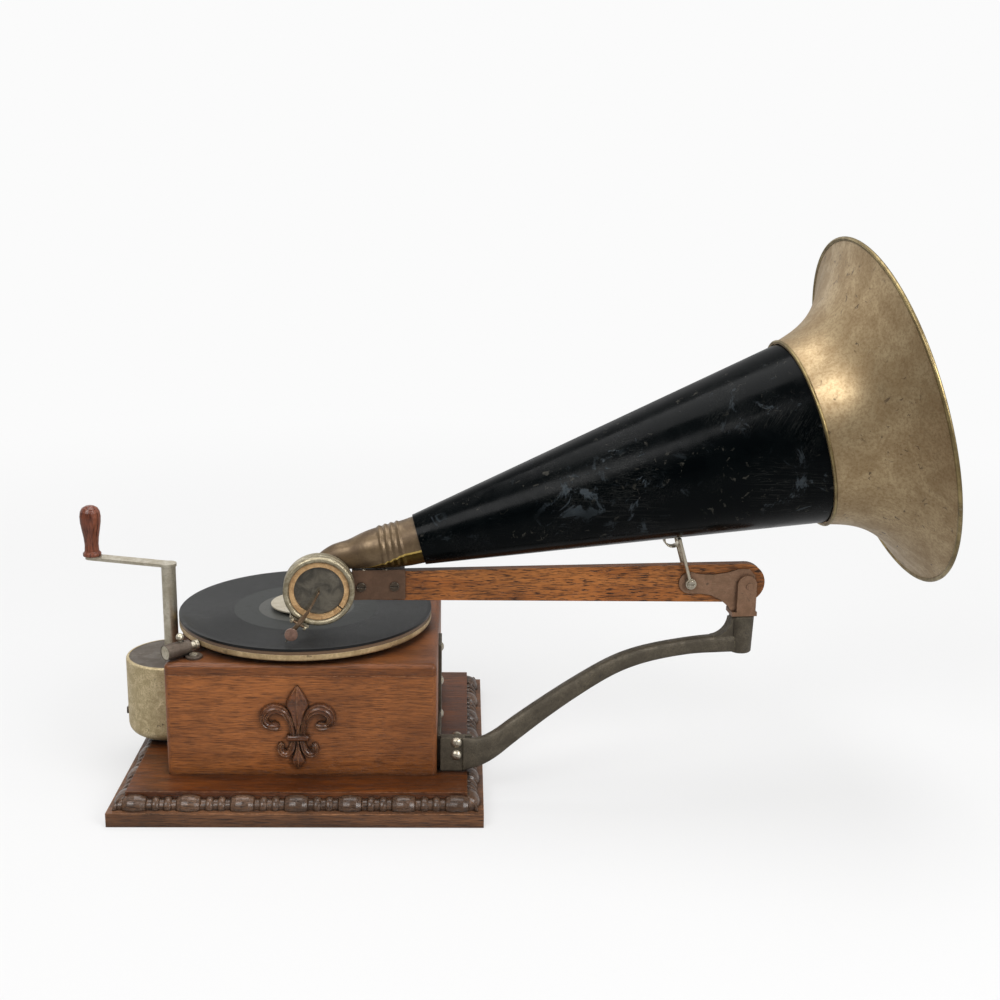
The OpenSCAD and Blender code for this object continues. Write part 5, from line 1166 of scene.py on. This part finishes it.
@dataclass
class Clip:
    """Small domed screws on the clip's top plate, which the solids have as flush heads."""

    shop: Workshop
    places: tuple[float, float] = (-260.7, -246.4)
    edge: float = -3.1
    head: float = 1.55
    dome: float = 0.6

    def build(self) -> None:
        """Builds the two heads at the plate's front edge."""
        shell = Shell()
        crown = [(self.head * math.cos(a), self.dome * math.sin(a)) for a in (0.4, 0.8, 1.2)]
        for x in self.places:
            shell.place = ARM @ move(x, self.edge, ARM_TOP)
            shell.turned([(0.0, -0.3), (self.head, -0.3), (self.head, 0.0)] + crown + [(0.0, self.dome)], 28)
        self.shop.piece("clip_heads", shell, SCREW, "front_clip", hide=False)


@dataclass
class Studio:
    """Pale floor, soft light and the camera at the photograph's place."""

    eye: Place = (104.603, -937.109, 421.687)
    yaw: float = 0.028
    pitch: float = 0.245
    roll: float = 0.015
    focal: float = 1399.955
    frame: float = 1000.0
    sensor: float = 36.0
    paper: Screen = (251, 251, 251)
    reach: float = 30.0
    front_light: float = 0.1
    left_light: float = 1.1
    back_light: float = 0.4
    top_light: float = 0.45
    right_light: float = 0.85
    floor_near: float = 0.61
    floor_hidden: float = 0.28

    def camera(self) -> None:
        """Places the camera."""
        right = Vector((math.cos(self.yaw), -math.sin(self.yaw), 0))
        level = math.cos(self.pitch)
        forward = Vector((math.sin(self.yaw) * level, math.cos(self.yaw) * level, -math.sin(self.pitch)))
        up = right.cross(forward)
        side = math.cos(self.roll) * right + math.sin(self.roll) * up
        rise = -math.sin(self.roll) * right + math.cos(self.roll) * up
        data = bpy.data.cameras.new("camera")
        data.sensor_width = self.sensor
        data.lens = self.focal / self.frame * self.sensor
        data.clip_start, data.clip_end = 0.01, 50.0
        turn = Matrix((side, rise, -forward)).transposed().to_4x4()
        bpy.context.scene.camera = self.stand(data, Matrix.Translation(Vector(self.eye) * MM) @ turn)

    @staticmethod
    def stand(data: bpy.types.ID, place: Matrix = Matrix.Identity(4)) -> bpy.types.Object:
        """Puts a camera, a light or a mesh into the scene under its own name."""
        made = bpy.data.objects.new(data.name, data)
        bpy.context.scene.collection.objects.link(made)
        made.matrix_world = place
        return made

    def lamp(self, name: str, place: Sequence[float], aim: Sequence[float], size: tuple[float, float],
             power: float) -> None:
        """Adds a soft rectangular light.

        Args:
            name: Name of the light.
            place: Its place in metres.
            aim: The point it faces.
            size: Its width and height in metres.
            power: Its power in watts.
        """
        data = bpy.data.lights.new(name, "AREA")
        data.shape = "RECTANGLE"
        data.size, data.size_y = size
        data.energy = power
        turn = (Vector(aim) - Vector(place)).to_track_quat("-Z", "Y").to_matrix().to_4x4()
        self.stand(data, Matrix.Translation(place) @ turn)

    def world(self) -> None:
        """Bright surround behind and at the sides, dimmer towards the viewer."""
        made = bpy.data.worlds.new("studio_air")
        made.use_nodes = True
        bpy.context.scene.world = made
        tree = Tree(made.node_tree)
        tree.tree.nodes.clear()
        way = tree.fill(tree.add("SeparateXYZ"), tree.add("TexCoord").outputs["Generated"]).outputs
        behind = tree.spread(way["Y"], -0.25, 0.45)
        above = tree.spread(way["Z"], 0.15, 0.85)
        left = tree.spread(tree.times(way["X"], -1.0), -0.02, 0.3)
        right = tree.spread(way["X"], 0.35, 0.85)
        level = tree.between(behind, self.front_light, tree.between(left, self.back_light, self.left_light))
        level = tree.between(above, level, self.top_light)
        level = tree.between(right, level, self.right_light)
        surround = tree.feed(tree.add("Background"), Color=(1.0, 1.0, 1.0, 1.0), Strength=level)
        seen = tree.feed(tree.add("Background"), Color=tone(*self.paper))
        mix = tree.fill(tree.add("MixShader"), tree.add("LightPath").outputs["Is Camera Ray"],
                        surround.outputs[0], seen.outputs[0])
        tree.feed(tree.add("OutputWorld"), Surface=mix.outputs[0])

    def floor(self) -> None:
        """Lays a wide pale floor."""
        mesh = bpy.data.meshes.new("floor")
        corners = ((-1, -1), (1, -1), (1, 1), (-1, 1))
        mesh.from_pydata([(x * self.reach, y * self.reach, 0) for x, y in corners], [], [(0, 1, 2, 3)])
        paint = bpy.data.materials.new("pale_floor")
        paint.use_nodes = True
        tree = Tree(paint.node_tree)
        offset = tree.vector("SUBTRACT", tree.coords(), (0.1, 0.0, 0.0))
        far = tree.spread(tree.vector("LENGTH", tree.vector("MULTIPLY", offset, (1.0, 1.0, 0.0))), 0.25, 1.3)
        near = tree.blend(tree.noise(tree.coords(), 3.0, 2.0), (0.24,) * 3 + (1.0,), (0.25,) * 3 + (1.0,))
        seen = tree.add("LightPath").outputs["Is Camera Ray"]
        glow = tree.between(seen, self.floor_hidden, tree.between(far, self.floor_near, 1.0))
        tree.feed(paint.node_tree.nodes["Principled BSDF"], Roughness=0.9, Specular_IOR_Level=0.0,
                  Base_Color=tree.blend(far, near, (0.0, 0.0, 0.0, 1.0)), Emission_Color=tone(*self.paper),
                  Emission_Strength=glow)
        mesh.materials.append(paint)
        self.stand(mesh)

    def build(self) -> None:
        """Sets up the camera, the light and the floor."""
        self.camera()
        self.world()
        self.floor()
        self.lamp("key", (-0.9, -1.5, 1.7), (0.1, 0.0, 0.15), (1.2, 1.0), 27.0)
        self.lamp("fill", (1.5, -1.3, 1.2), (0.1, 0.0, 0.15), (1.0, 1.0), 28.0)
        self.lamp("top", (0.1, 0.3, 1.9), (0.1, 0.0, 0.1), (1.6, 1.2), 22.0)
        view = bpy.context.scene.view_settings
        view.view_transform = "Standard"
        view.look = "None"
        log.info("studio ready")


def main() -> None:
    """Builds the studio and every sub-assembly in order."""
    logging.basicConfig(level=logging.INFO, format="%(name)s: %(message)s")
    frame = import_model()
    shop = Workshop(frame)
    Studio().build()
    for finish, nodes in DRESSED:
        shop.dress(finish, nodes)
    for assembly in (Horn(shop), Elbow(shop), SoundBox(shop), Lily(shop), Bracket(shop), Clip(shop)):
        assembly.build()
        log.info("%s done", type(assembly).__name__)


if __name__ == "__main__":
    main()
